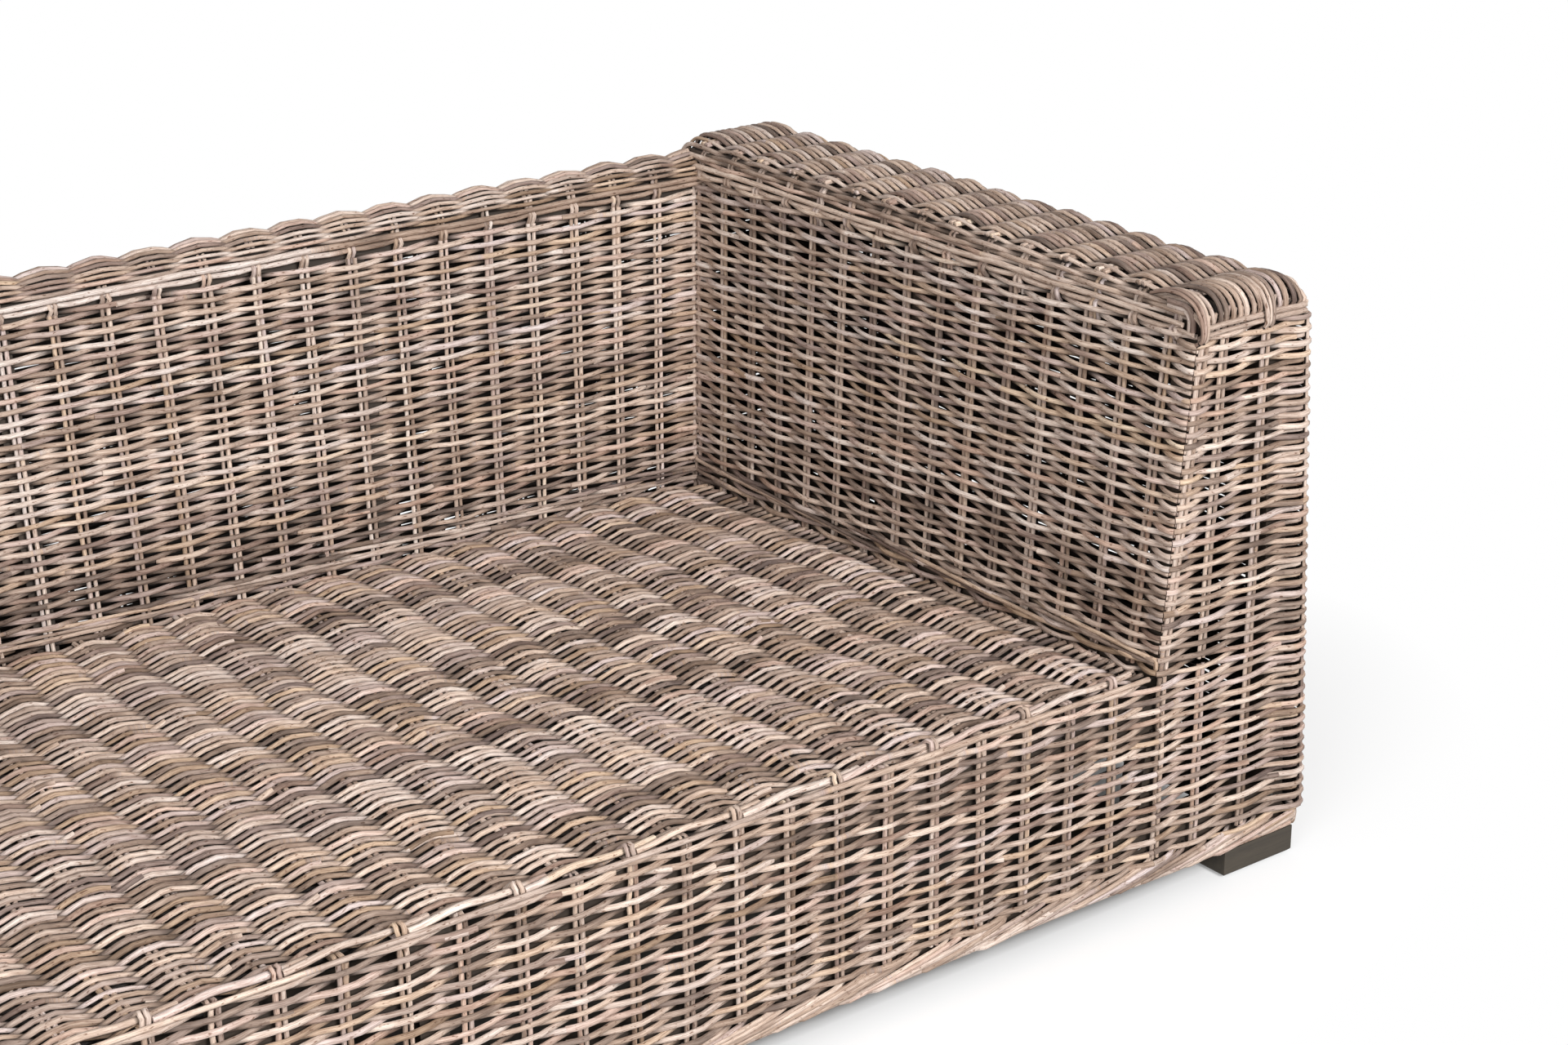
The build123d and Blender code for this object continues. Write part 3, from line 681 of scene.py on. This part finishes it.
# Seat
# Canes laid from arm to arm over pairs of stakes that run from front to back, drawn tight, so that each
# pair shows as a rounded ridge. Beside the arms they dip under the arms' lowest rows.
seat_relief = 0.0125
seat_peak = 1.3
seat_radius = 0.0029
seat_inset = seat_relief / 2 + seat_radius
seat_tone = -0.18
seat_row_count = 125
seat_splice_count = 60
seat_gap_shade = 1.2
seat_side_shade = 0.5
seat_start = front + 0.020
seat_stake_ends = (front + 0.012, 0.37)
seat_up = np.array([0, 0.0205, 0.99979])
seat_stake_pitch = 2 * (seat_half_width + inset) / apron_gaps
seat_first_x = -seat_half_width - inset
seat_sag = -0.0012
seat_waves = ((0.0010, 17, 9, 0, 0), (0.0010, -7, 29, 0, 2))
seat_swerve = ((0.06, 5, 13, 0, 0), (0.05, -11, 31, 0, 1))
dip_reach = 0.026
dip = 0.008
turns = phases(apron_gaps, (False, False))
seat_reach = seat_half_width + 0.004
x = np.clip(turns * seat_stake_pitch + seat_first_x, -seat_reach, seat_reach)
beside_arm = np.clip(1 - (seat_half_width - np.abs(x)) / dip_reach, 0, 1)
away = 1 - beside_arm
for part, rows in (("front", slice(0, seat_row_count // 2)), ("rear", slice(seat_row_count // 2, None))):
    y = (seat_start + np.arange(seat_row_count) * row_pitch)[rows][:, None]
    uneven = seat_sag + waves(x, y, 0, seat_waves)
    middle = points(x, y, seat_z(y) - seat_inset - dip * beside_arm ** 1.5 + away * uneven)
    lines, sunk = weave(81, middle, seat_up, BACKWARD, turns + away * waves(x, y, 0, seat_swerve),
                        np.arange(seat_row_count)[rows] % 2, seat_relief, seat_peak)
    # Painted shade darkens the canes where they dive between the ridges, and beside the arms where they dip
    # under them.
    bend_canes(f"seat_canes_{part}", "seat_deck", lines, seat_up, 82, radius=seat_radius,
               depth=seat_gap_shade * sunk + seat_side_shade * beside_arm, tone_shift=seat_tone)
    splices(f"seat_splices_{part}", "seat_deck", lines, seat_up, sunk, seat_splice_count, 86, seat_radius,
            seat_tone)
stake_x = seat_first_x + np.arange(1, apron_gaps) * seat_stake_pitch
y = np.linspace(*seat_stake_ends, stake_rings)
middle = points(stake_x[:, None], y, seat_z(y) - seat_inset)
stake_pairs("seat_stakes", "seat_deck", middle, seat_up, 85)

# Arm tops
# Canes laid lengthwise over the arm and bent down over its ends, woven over the stakes that come up the
# inner side and cross to the outer side. Each pair of stakes makes a ridge. Along both edges the canes curl
# down to the edge cane, and short arched canes close the two front corners.
top_relief = 0.0132
top_radius = 0.0029
top_inset = top_relief / 2 + top_radius
top_bend = 0.030
top_peak = 1.4
top_pitch = 0.0047
top_edge = top_radius + 0.0045
top_shade = 1.25
crown_radius = 0.0220
crown_lean = 1.46
crown_calm = 0.4
crown_light = 0.45
first_ridge = front + first_stake
ridge_count = 15
ridge_radius = 0.0038
ridge_spread = 0.0042
ridge_ends = (0.009, 0.016)
foot_level = 0.645
end_slowness = 0.3
end_lift = 0.005
foot_tuck = 0.0065
foot_tuck_length = 0.011
stub_feet = 0.642
stub_bend = 0.646
stub_heads = (0.656, 0.667)
stub_places = (0.0125, 0.0090, 0.0075)
arch_radii = (0.0165, 0.0115)
arch_inset = 0.0055
arch_tail = 0.020
arch_turn = np.linspace(0, pi / 2, 6)
arch_foot = foot_level - arm_height + top_bend
quarter = (top_bend - top_inset) * pi / 2
straight = arm_height - top_bend - foot_level
top_length = 2 * (straight + quarter) + depth - 2 * top_bend
first_turn = (first_ridge - (front + top_bend) + quarter + straight) / stake_pitch


def over_the_arm(s):
    """Height, place along Y and outward way of the middle of the arm's top skin, by the distance over it."""
    half = np.minimum(s, top_length - s)
    angle = np.clip((half - straight) / quarter, 0, 1) * pi / 2
    level = np.clip(half - straight - quarter, 0, None)
    radius = top_bend - top_inset
    place = front + top_bend - radius * np.cos(angle) + level
    height = arm_height - top_bend + radius * np.sin(angle) - np.clip(straight - half, 0, None)
    sign = np.where(s > top_length / 2, -1, 1)
    return height, place * sign, -np.cos(angle) * sign, np.sin(angle)


def crown(span, pitch, edge, radius):
    """Canes side by side over a top and curled over both its edges: place across, drop and lean of each."""
    arc = radius * crown_lean
    flat = span - 2 * (edge + radius)
    total = 2 * arc + flat
    gone = np.linspace(0, total, round(total / pitch) + 1)
    from_edge = np.minimum(gone, total - gone)
    side = np.where(gone > total / 2, 1, -1)
    lean = np.clip(crown_lean - from_edge / radius, 0, None)
    from_face = edge + radius * (1 - np.sin(lean)) + np.clip(from_edge - arc, 0, None)
    found = side * (span / 2 - from_face), radius * (1 - np.cos(lean)), side * lean
    return [values[:, None] for values in found]


s = np.concatenate([np.linspace(0, straight + quarter, 9)[:-1],
                    np.linspace(straight + quarter, top_length - straight - quarter, 6 * ridge_count)[:-1],
                    np.linspace(top_length - straight - quarter, top_length, 9)])
height, place, out_y, out_z = over_the_arm(s)
turns = 1 + s / stake_pitch - first_turn
turns = np.where(turns < 1, 1 - (1 - turns) * end_slowness, turns)
turns = np.where(turns > ridge_count, ridge_count + (turns - ridge_count) * end_slowness, turns)
across, drop, lean = crown(outer_x(arm_height) - inner_x(arm_height), top_pitch, top_edge, crown_radius)
top_middle = (inner_x(height) + outer_x(height)) / 2
leaning = np.abs(lean) / crown_lean
level_share = np.clip(out_z, 0, 1)
drop = drop * level_share - end_lift * leaning * (1 - level_share)
relief = top_relief * (1 - crown_calm * leaning)
tuck = foot_tuck * np.clip(1 - np.minimum(s, top_length - s) / foot_tuck_length, 0, 1)
stubs = np.arange(4, len(across) - 4, 2)
ridge_y = first_ridge + np.arange(ridge_count) * stake_pitch
ridge_x = np.linspace(inner_x(arm_height) + ridge_ends[0], outer_x(arm_height) - ridge_ends[1], 8)
for side, mirror in (("right", 1), ("left", -1)):
    node = f"arm_top_weave_{side}"
    middle = points(mirror * (top_middle + across), place - drop * out_y, height - drop * out_z)
    out = points(mirror * np.sin(lean), np.cos(lean) * out_y, np.cos(lean) * out_z)
    middle = middle + out * ((top_relief - relief) / 2 - tuck)[..., None]
    lines, sunk = weave(91 + mirror, middle, out, RIGHT, turns, np.arange(len(across)) % 2, relief,
                        top_peak)
    # Painted shade darkens the canes where they dive under the stakes, less where they curl over the edges.
    bend_canes(f"arm_top_canes_{side}", node, lines, out, 93 + mirror, radius=top_radius,
               depth=top_shade * sunk * (1 - crown_light * leaning), tone_shift=-0.2)
    middle = points(mirror * ridge_x, ridge_y[:, None], arm_height - top_inset)
    stake_pairs(f"arm_top_stakes_{side}", node, middle, UP, 97 + mirror, ridge_spread, ridge_radius)
    ends = np.random.default_rng(99).uniform(*stub_heads, len(stubs))
    lines = points(mirror * (top_middle[0] + across[stubs]), front + np.array(stub_places),
                   np.stack([0 * ends + stub_feet, (ends + stub_bend) / 2, ends], axis=1))
    bend_canes(f"arm_front_stubs_{side}", node, lines, FORWARD, 99, radius=top_radius, depth=0.3)
    lines = []
    out = []
    for face_x, way in ((inner_x(foot_level) + arch_inset, LEFT), (outer_x(foot_level) - arch_inset, RIGHT)):
        for radius in arch_radii:
            arch_y = np.concatenate([[arch_tail], -radius * np.sin(arch_turn), [-radius]])
            arch_z = np.concatenate([[radius], radius * np.cos(arch_turn), [arch_foot]])
            lines.append(points(mirror * face_x, front + top_bend + arch_y, arm_height - top_bend + arch_z))
            out.append([(way * mirror + FORWARD) / 2 ** 0.5])
    bend_canes(f"arm_top_arches_{side}", node, np.array(lines), np.array(out), 197, radius=top_radius,
               depth=0.1, tone_shift=-0.1)

# Back top
# The same weave in thinner canes, packed close over the top rail between the arms.
back_top_radius = 0.0024
back_top_relief = 0.0120
back_top_pitch = 0.0029
back_top_edge = back_top_radius + 0.0004
back_top_inset = back_top_relief / 2 + back_top_radius
back_top_peak = 1.2
back_top_shade = 1.15
back_top_past_arm = 0.003
back_crown_radius = 0.0215
back_crown_calm = 0.2
half = inner_x(back_height) + back_top_past_arm
turns = phases(back_gaps, (False, False))
x = -half + turns * 2 * half / back_gaps
back_top_middle = (back_y(back_height) + rear) / 2
across, drop, lean = crown(rear - back_y(back_height), back_top_pitch, back_top_edge, back_crown_radius)
middle = points(x, back_top_middle + across, back_height - back_top_inset - drop)
out = points(0, np.sin(lean), np.cos(lean))
relief = back_top_relief * (1 - back_crown_calm * np.abs(lean) / crown_lean)
lines, sunk = weave(101, middle, out, BACKWARD, turns, np.arange(len(across)) % 2, relief, back_top_peak)
# Painted shade darkens the canes where they dive under the stakes.
bend_canes("back_top_canes", "back_top_weave", lines, out, 103, radius=back_top_radius,
           depth=back_top_shade * sunk, tone_shift=-0.05)

# Edge canes of the arms and of the back
# Two canes run outside the stakes along the top of each face, the upper one thicker. Each pair of stakes
# passes over the lower one, behind the upper one and in under the canes on top.
edge_cane_drops = (0.0340, 0.0415)
edge_cane_radii = (0.0036, 0.0031)
edge_cane_ring = 0.008
edge_cane_swerve = (0.06, 0.0005)
edge_cane_sag = (0.07, 0.0008)
edge_cane_end = 0.001
edge_cane_push = 0.4
edge_cane_dip = 0.0058
edge_cane_dip_reach = 0.011
cut_end = 0.016
fold_outline = [(-0.001, -0.060), (-0.001, -0.053), (0.005, -0.047), (0.0062, -0.0415), (-0.001, -0.0368),
                (-0.002, -0.030), (-0.003, -0.022), (-0.012, -0.014)]
fold_margin = 0.02
fold_pair_spread = 0.0031
fold_pair_radius = 0.0027


def smooth_path(corners, steps=4):
    """Smooth line from the first to the last of some points, which rounds off the points between."""
    corners = np.array([corners[0], *corners, corners[-1]], dtype=float)
    t = np.linspace(0, 1, steps, endpoint=False)[:, None]
    arcs = [(1 - t) ** 2 / 2 * first + (0.5 + t * (1 - t)) * second + t ** 2 / 2 * third
            for first, second, third in zip(corners, corners[1:], corners[2:])]
    return np.concatenate(arcs + [corners[-1:]])


def edge_canes(name, node, start, end, normal, bends, top, seed, flip=1, cut=0.0, folds=None):
    """Two canes along the upper edge of one face. The upper one may stop short of its start with a cut end,
    and the lower one dips behind the folded stakes."""
    rng = np.random.default_rng(seed)
    length = np.linalg.norm(end - start)
    bends = (bends[0] * (cut == 0), bends[1])
    for place, drop, thick, begins in zip(("upper", "lower"), edge_cane_drops, edge_cane_radii,
                                          (edge_cane_end + cut, edge_cane_end)):
        distance = np.linspace(begins, length - edge_cane_end, round(length / edge_cane_ring))[None, :]
        middle, out = turned_run(start, end, normal, distance, bends)
        near = near_corners(distance, length, bends, corner_reach)
        proud = inset - thick + corner_push * edge_cane_push * near
        if place == "lower" and folds is not None:
            nearest = np.abs(distance[..., None] - folds).min(axis=-1)
            proud = proud - edge_cane_dip * np.exp(-(nearest / edge_cane_dip_reach) ** 2)
        line = middle + out * (proud + drift(rng, distance, *edge_cane_swerve))[..., None]
        line = line + UP * (top - drop + drift(rng, distance, *edge_cane_sag)[..., None])
        bend_canes(f"{name}_{place}", node, line * flip, out * flip, seed + 1, radius=thick, depth=0.05,
                   tone_shift=0.1)


def folded_stakes(name, node, feet, out, top, seed):
    """Pairs of stakes that pass over the lower edge cane, behind the upper one and in under the top."""
    path = smooth_path(fold_outline, 2)
    middle = feet[:, None] + out * path[None, :, :1] + UP * (top + path[None, :, 1:])
    stake_pairs(name, node, middle, out, seed, fold_pair_spread, fold_pair_radius, tone_shift=0.05,
                sunk=0.2)


edge_z = arm_height - edge_cane_drops[0]
inner_edge_x = inner_x(edge_z) + inset
outer_edge_x = outer_x(edge_z) - inset
corners = {
    "inner_front": np.array([inner_edge_x, front + inset, 0]),
    "outer_front": np.array([outer_edge_x, front + inset, 0]),
    "outer_rear": np.array([outer_edge_x, rear - inset, 0]),
    "inner_rear": np.array([inner_edge_x, rear - inset, 0]),
}
folds_y = ridge_y[(ridge_y > front + fold_margin) & (ridge_y < rear - fold_margin)]
folds_along = folds_y - front - inset
for side, number, flip in SIDES:
    for face, first, last, normal, bends, cut, folds in (
            ("front", "inner_front", "outer_front", FORWARD, (1, 1), 0.0, None),
            ("outer", "outer_front", "outer_rear", RIGHT, (1, 1), 0.0, folds_along),
            ("rear", "outer_rear", "inner_rear", BACKWARD, (1, 0), 0.0, None),
            ("inner", "inner_front", "inner_rear", LEFT, (1, 0), cut_end, folds_along)):
        node = "rear_weave" if face == "rear" else f"arm_{face}_weave_{side}"
        edge_canes(f"arm_{face}_edge_{side}", node, corners[first], corners[last], normal, bends, arm_height,
                   141 + 2 * number, flip, cut, folds)
    for face, face_x, way, seed in (("inner", inner_edge_x, LEFT, 151),
                                    ("outer", outer_edge_x, RIGHT, 155)):
        folded_stakes(f"arm_{face}_folds_{side}", f"arm_{face}_weave_{side}",
                      points(face_x, folds_y, 0) * flip, way * flip, arm_height, seed + number)
back_edge_past_arm = 0.012
rear_edge_past_arm = 0.004
back_edge = np.array([inner_x(back_height) + back_edge_past_arm,
                      back_y(back_height - edge_cane_drops[0]) + inset, 0])
rear_edge = np.array([inner_x(back_height) + rear_edge_past_arm, rear - inset, 0])
back_stake_x = -half + np.arange(1, back_gaps) * 2 * half / back_gaps
back_faces = (("back_inner", "back_inner_weave", back_edge, FORWARD, 161),
              ("back_rear", "rear_weave", rear_edge, BACKWARD, 163))
for name, node, edge, way, seed in back_faces:
    edge_canes(name + "_edge", node, edge, edge * MIRROR, way, (0, 0), back_height, seed,
               folds=edge[0] - back_stake_x)
for name, node, edge, way, seed in back_faces:
    folded_stakes(name + "_folds", node, points(back_stake_x, edge[1], 0), way, back_height, seed + 4)

# Bindings of the arm fronts
# Two bundles of three thin canes come down over the front edge of each arm, fanned out on top, pass over
# both edge canes and go in between the rows.
binding_pitch = 0.0039
binding_radius = 0.0021
binding_wander = 0.0005
binding_lift = 0.001
binding_places = (inner_x(edge_z) + 0.007, 1.002)
binding_path = smooth_path([(0.072, -0.0100), (0.050, -0.0020), (0.028, -0.0010), (0.009, -0.0080),
                            (-0.0008, -0.0230), (-0.0024, -0.0340), (-0.0022, -0.0440), (0.0040, -0.0500),
                            (0.0120, -0.0540)])
binding_fan = np.interp(binding_path[:, 1], [-0.04, -0.002], [0.9, 1.6])
for side, mirror in (("right", 1), ("left", -1)):
    rng = np.random.default_rng(181)
    lines = []
    for place in binding_places:
        for strand in range(3):
            fan = (strand - 1) * binding_pitch * binding_fan
            x = place + fan + rng.normal(0, binding_wander)
            lines.append(points(mirror * x, front + binding_path[:, 0],
                                arm_height + binding_path[:, 1] + binding_lift * (strand % 2)))
    bend_canes(f"arm_front_bindings_{side}", f"arm_front_weave_{side}", np.array(lines),
               (FORWARD + UP) / 2 ** 0.5, 183, radius=binding_radius, depth=0.1, tone_shift=-0.2)

# Border
# Each pair of upright stakes is bent over at the skirt and laid slantwise across the next ones. Thick canes
# close the lower edge, one that shows and two behind and under it.
slant_rings = 14
slant_shares = [0, 0.10, 0.5, 0.92, 1]
slant_lifts = [-0.010, -0.002, 0.0, -0.001, -0.009]
slant_shade_shares = [0, 0.12, 0.92, 1]
slant_shades = [0.6, 0.0, 0.0, 0.4]
slant_head_spread = 0.35
slant_lengths = (0.8, 1.2)
slant_curves = (0.8, 1.3)
slant_level_spread = 0.0012
slant_drift = (0.05, 0.0006)
slant_gap = 0.001
shortest_slant = 0.04
border_end = 0.0005
border_level = 0.05
roll_radius = 0.0043
roll_rings = 60
roll_run = 0.31
roll_drift = (0.09, 0.0008)
roll_places = ((0.0050, 0.0090), (0.0135, 0.0095), (0.0045, 0.0175))
border_foot = skirt_gap + 0.0050


def slanting_canes(name, node, start, end, normal, bends, seed, feet, fall, reach, spacing, radius, shade,
                   tone_shift, flip=1, lift=0.0):
    """Canes that lie slantwise along the foot of a face, each falling towards the end of its run."""
    rng = np.random.default_rng(seed)
    length = np.linalg.norm((end - start)[:2])
    heads = np.arange(-reach, length, spacing)
    heads = heads + rng.uniform(-slant_head_spread, slant_head_spread, len(heads)) * spacing
    t = np.linspace(0, 1, slant_rings)
    distance = heads[:, None] + t * reach * rng.uniform(*slant_lengths, (len(heads), 1))
    distance = np.clip(distance, border_end, length - border_end)
    kept = distance[:, -1] - distance[:, 0] > shortest_slant
    distance = distance[kept] + t * 1e-5
    share = t ** rng.uniform(*slant_curves, (len(distance), 1))
    middle, out = turned_run(start, end, normal, distance, bends)
    proud = lift + np.interp(t, slant_shares, slant_lifts)
    level = np.interp(distance / length, [0, 1], feet) + fall * (1 - share)
    level = level + rng.normal(0, slant_level_spread, (len(distance), 1))
    lines = middle + out * (proud + inset - radius - slant_gap)[None, :, None]
    lines[..., 2] = level + drift(rng, distance, *slant_drift)
    # Painted shade: each cane darkens by shade, and more at its ends where it goes under its neighbours.
    bend_canes(name, node, lines * flip, out * flip, seed + 1, radius=radius, tone_shift=tone_shift,
               depth=shade + np.interp(t, slant_shade_shares, slant_shades))


def rolled_edge(name, node, start, end, normal, bends, seed, flip):
    """Thick canes along the lower edge of one side."""
    length = np.linalg.norm(end - start)
    distance = np.linspace(border_end, length - border_end, roll_rings)[None, :]
    middle, out = turned_run(start, end, normal, distance, bends)
    rng = np.random.default_rng(seed)
    lines = [middle + out * (inset - back)
             + UP * (skirt_gap + raised + drift(rng, distance, *roll_drift)[..., None])
             for raised, back in roll_places]
    # The rolled canes get a painted shade.
    bend_canes(name, node, np.concatenate(lines) * flip, out * flip, seed + 1, radius=roll_radius,
               depth=0.32, tone_shift=-0.14, run=roll_run)


base_front = np.array([outer_x(border_level) - inset, front + inset, 0.0])
base_rear = np.array([outer_x(border_level) - inset, rear - inset, 0.0])
for number, (name, first, last, normal, flip) in enumerate((
        ("border_front", base_front, base_front * MIRROR, FORWARD, 1),
        ("border_rear", base_rear * MIRROR, base_rear, BACKWARD, 1),
        ("border_right", base_rear, base_front, RIGHT, 1),
        ("border_left", base_rear, base_front, RIGHT, MIRROR))):
    slanting_canes(name + "_slanting_canes", name, first, last, normal, (1, 1), 111 + 2 * number,
                   feet=(border_foot, border_foot), fall=0.023, reach=0.150, spacing=0.028, radius=0.0029,
                   shade=0.34, tone_shift=-0.06, flip=flip, lift=0.0004)
    rolled_edge(name + "_rolled_canes", name, first, last, normal, (1, 1), 121 + 2 * number, flip)

# Foot canes of the seat
# Where the arms and the back stand on the seat, a few long thin canes lie slantwise along their foot and
# close the joint.
foot_cane_radius = 0.0025
foot_cane_reach = 0.42
foot_cane_tone = -0.35
rear_foot = seat_rear_height - 0.002
foot_front = np.array([inner_x(seat_front_height) + inset, front + inset, 0])
foot_rear = np.array([inner_x(seat_rear_height) + inset, back_y(seat_rear_height) + inset, 0])
for side, number, flip in SIDES:
    slanting_canes(f"arm_foot_canes_{side}", f"arm_inner_weave_{side}", foot_rear, foot_front, LEFT, (-1, 1),
                   171 + number, feet=(rear_foot, seat_front_height), fall=0.020, reach=foot_cane_reach,
                   spacing=0.15, radius=foot_cane_radius, shade=0.42, tone_shift=foot_cane_tone, flip=flip)
slanting_canes("back_foot_canes", "back_inner_weave", foot_rear * MIRROR, foot_rear, FORWARD, (-1, -1), 175,
               feet=(rear_foot, rear_foot), fall=0.017, reach=foot_cane_reach, spacing=0.16,
               radius=foot_cane_radius, shade=0.40, tone_shift=foot_cane_tone)

# Seat edge
# A straight cane runs along the front edge, before the ends of the apron's stakes. Every second pair folds
# back over the seat and holds short thick laces, which lie slantwise over the tucked pair between folds.
edge_rise = 0.2802
edge_in = 0.0044
edge_end = 0.006
edge_radius = 0.0035
lace_radius = 0.0036
lace_rings = 24
lace_start_aside = 0.006
lace_end_aside = 0.034
lace_rise = 0.2812
lace_arch = 0.0056
lace_crest = 0.36
lace_crest_width = 0.22
lace_end_rise = 0.0008
lace_start_in = 0.0120
lace_run_in = 0.0110
lace_wander = 0.0008
lace_margin = 0.012
fold_radius = 0.0025
fold_spread = 0.0030
folded_path = smooth_path([(0.0095, 0.258), (0.0105, 0.270), (0.0105, 0.280), (0.0112, 0.288),
                           (0.0168, 0.2902), (0.023, 0.2835), (0.031, 0.277)])
tucked_path = smooth_path([(0.0095, 0.258), (0.0105, 0.270), (0.0112, 0.276), (0.015, 0.2785),
                           (0.021, 0.2775), (0.031, 0.273)])
turns = phases(apron_gaps, (False, False), 8)
x = np.clip(turns * seat_stake_pitch + seat_first_x, edge_end - seat_half_width, seat_half_width - edge_end)
edge_line = points(x[None, :], front + edge_in, edge_rise)
edge_drift = drift(np.random.default_rng(134), np.abs(edge_line[..., 0]), 0.08, 0.0006)
edge_line = edge_line + UP * edge_drift[..., None]
slope_up = np.array([0, -0.7071, 0.7071])
bend_canes("seat_edge_cane", "apron_binding", edge_line, slope_up, 133, radius=edge_radius, depth=0.05,
           tone_shift=0.1)
folds_x = np.arange(0, apron_gaps, 2) * seat_stake_pitch + seat_first_x
lace_start = np.clip(folds_x[:-1] + lace_start_aside, edge_end - seat_half_width, None)[:, None]
lace_end = np.clip(folds_x[1:] + lace_end_aside, None, seat_half_width - lace_margin)[:, None]
t = np.linspace(0, 1, lace_rings)
lace_z = lace_rise + lace_arch * np.exp(-((t - lace_crest) / lace_crest_width) ** 2) + lace_end_rise * t
lace = points(lace_start + t * (lace_end - lace_start), front + lace_start_in + lace_run_in * t ** 1.5,
              lace_z)
lace = lace + np.random.default_rng(135).normal(0, lace_wander, (len(lace), 1, 3)) * np.array([0, 1, 0.5])
bend_canes("seat_edge_laces", "apron_binding", lace, UP, 131, radius=lace_radius, tone_shift=0.1, run=0.35)
for place, path, first in (("folded", folded_path, 2), ("tucked", tucked_path, 1)):
    ends_x = np.arange(first, apron_gaps, 2) * seat_stake_pitch + seat_first_x
    middle = points(ends_x[:, None], front + path[:, 0], path[:, 1])
    stake_pairs(f"seat_edge_{place}_stakes", "apron_binding", middle, slope_up, 137, fold_spread,
                fold_radius, sunk=0.2)

# Camera, floor and light
# The camera stands where the photograph was taken from. To the camera, floor and surroundings are white
# away from the sofa's own shadow, and the floor under the sofa carries a painted shadow.
shaded_floor = (1.07, 0.43, 1)
plain_floor = (1.25, 0.62, 1)
shadow_edge = (0.90, 1.0)
white_edge = (0.95, 1.35)
world_strength = 0.38
bpy.ops.object.select_all(action="DESELECT")
camera_data = bpy.data.cameras.new("camera")
camera = bpy.data.objects.new("camera", camera_data)
bpy.context.collection.objects.link(camera)
camera_data.lens = 65.17
camera_data.sensor_width = 36
camera_data.clip_end = 60
camera.location = (-1.0583, -2.3947, 1.5026)
camera.rotation_mode = "QUATERNION"
camera.rotation_quaternion = (Euler((radians(68.84), 0, radians(-36.68))).to_quaternion()
                              @ Quaternion((0, 0, 1), radians(-0.56)))
bpy.context.scene.camera = camera


def seen(tree):
    """One for rays that show the surroundings to the camera, straight or by a mirror or glass."""
    path = tree.nodes.new("ShaderNodeLightPath").outputs
    mirrored = reckoned(tree, "MAXIMUM", path["Is Glossy Ray"], path["Is Transmission Ray"])
    return reckoned(tree, "MAXIMUM", path["Is Camera Ray"], mirrored)


bpy.ops.mesh.primitive_plane_add(size=30, location=(0, 0, 0))
floor = bpy.context.object
floor.name = "floor"
floor_material, tree, surface = new_material("floor", 0.9)
floor_seen = seen(tree)
under_sofa = put(tree, "ShaderNodeSeparateXYZ",
                 Vector=placed(tree, "ABSOLUTE", placed(tree, "DIVIDE", on_piece(tree), shaded_floor)))
farther = reckoned(tree, "MAXIMUM", under_sofa.outputs["X"], under_sofa.outputs["Y"])
beside = limited(tree, farther, *shadow_edge)
# Painted shadow: to the camera the floor under the sofa is dark brown-grey; to other rays it is plain grey.
bounce_grey_and_painted_shadow = mixed(tree, "MIX", floor_seen, (0.17, 0.17, 0.17, 1), (0.10, 0.09, 0.08, 1))
shown = reckoned(tree, "MULTIPLY", beside, floor_seen)
feed(tree, surface["Base Color"], mixed(tree, "MIX", shown, bounce_grey_and_painted_shadow, (0.95, 0.95, 0.95, 1)))
away = placed(tree, "LENGTH", placed(tree, "DIVIDE", on_piece(tree), plain_floor), result="Value")
glow = put(tree, "ShaderNodeEmission", Strength=1)
white_share = reckoned(tree, "MULTIPLY", limited(tree, away, *white_edge), floor_seen)
floor_mix = put(tree, "ShaderNodeMixShader", Fac=white_share)
feed(tree, floor_mix.inputs[1], tree.nodes["Principled BSDF"].outputs[0])
feed(tree, floor_mix.inputs[2], glow.outputs[0])
feed(tree, tree.nodes["Material Output"].inputs["Surface"], floor_mix.outputs[0])
floor.data.materials.append(floor_material)

world = bpy.data.worlds.new("studio")
bpy.context.scene.world = world
world.use_nodes = True
tree = world.node_tree
background = tree.nodes["Background"]
background.inputs["Color"].default_value = (1, 1, 1, 1)
feed(tree, background.inputs["Strength"], limited(tree, seen(tree), 0, 1, To_Min=world_strength))
bpy.context.scene.view_settings.view_transform = "Standard"


def softbox(name, location, size, power, target=(0, 0, 0.3)):
    """Large soft lamp aimed at the sofa."""
    lamp = bpy.data.lights.new(name, "AREA")
    lamp.shape = "RECTANGLE"
    lamp.size, lamp.size_y = size
    lamp.energy = power
    holder = bpy.data.objects.new(name, lamp)
    bpy.context.collection.objects.link(holder)
    holder.location = location
    holder.rotation_mode = "QUATERNION"
    holder.rotation_quaternion = (Vector(location) - Vector(target)).to_track_quat("Z", "Y")


softbox("key", (0.3, -4.6, 2.8), (2.0, 1.6), 285)
softbox("fill", (-3.8, -2.6, 2.4), (2.5, 2.0), 118)
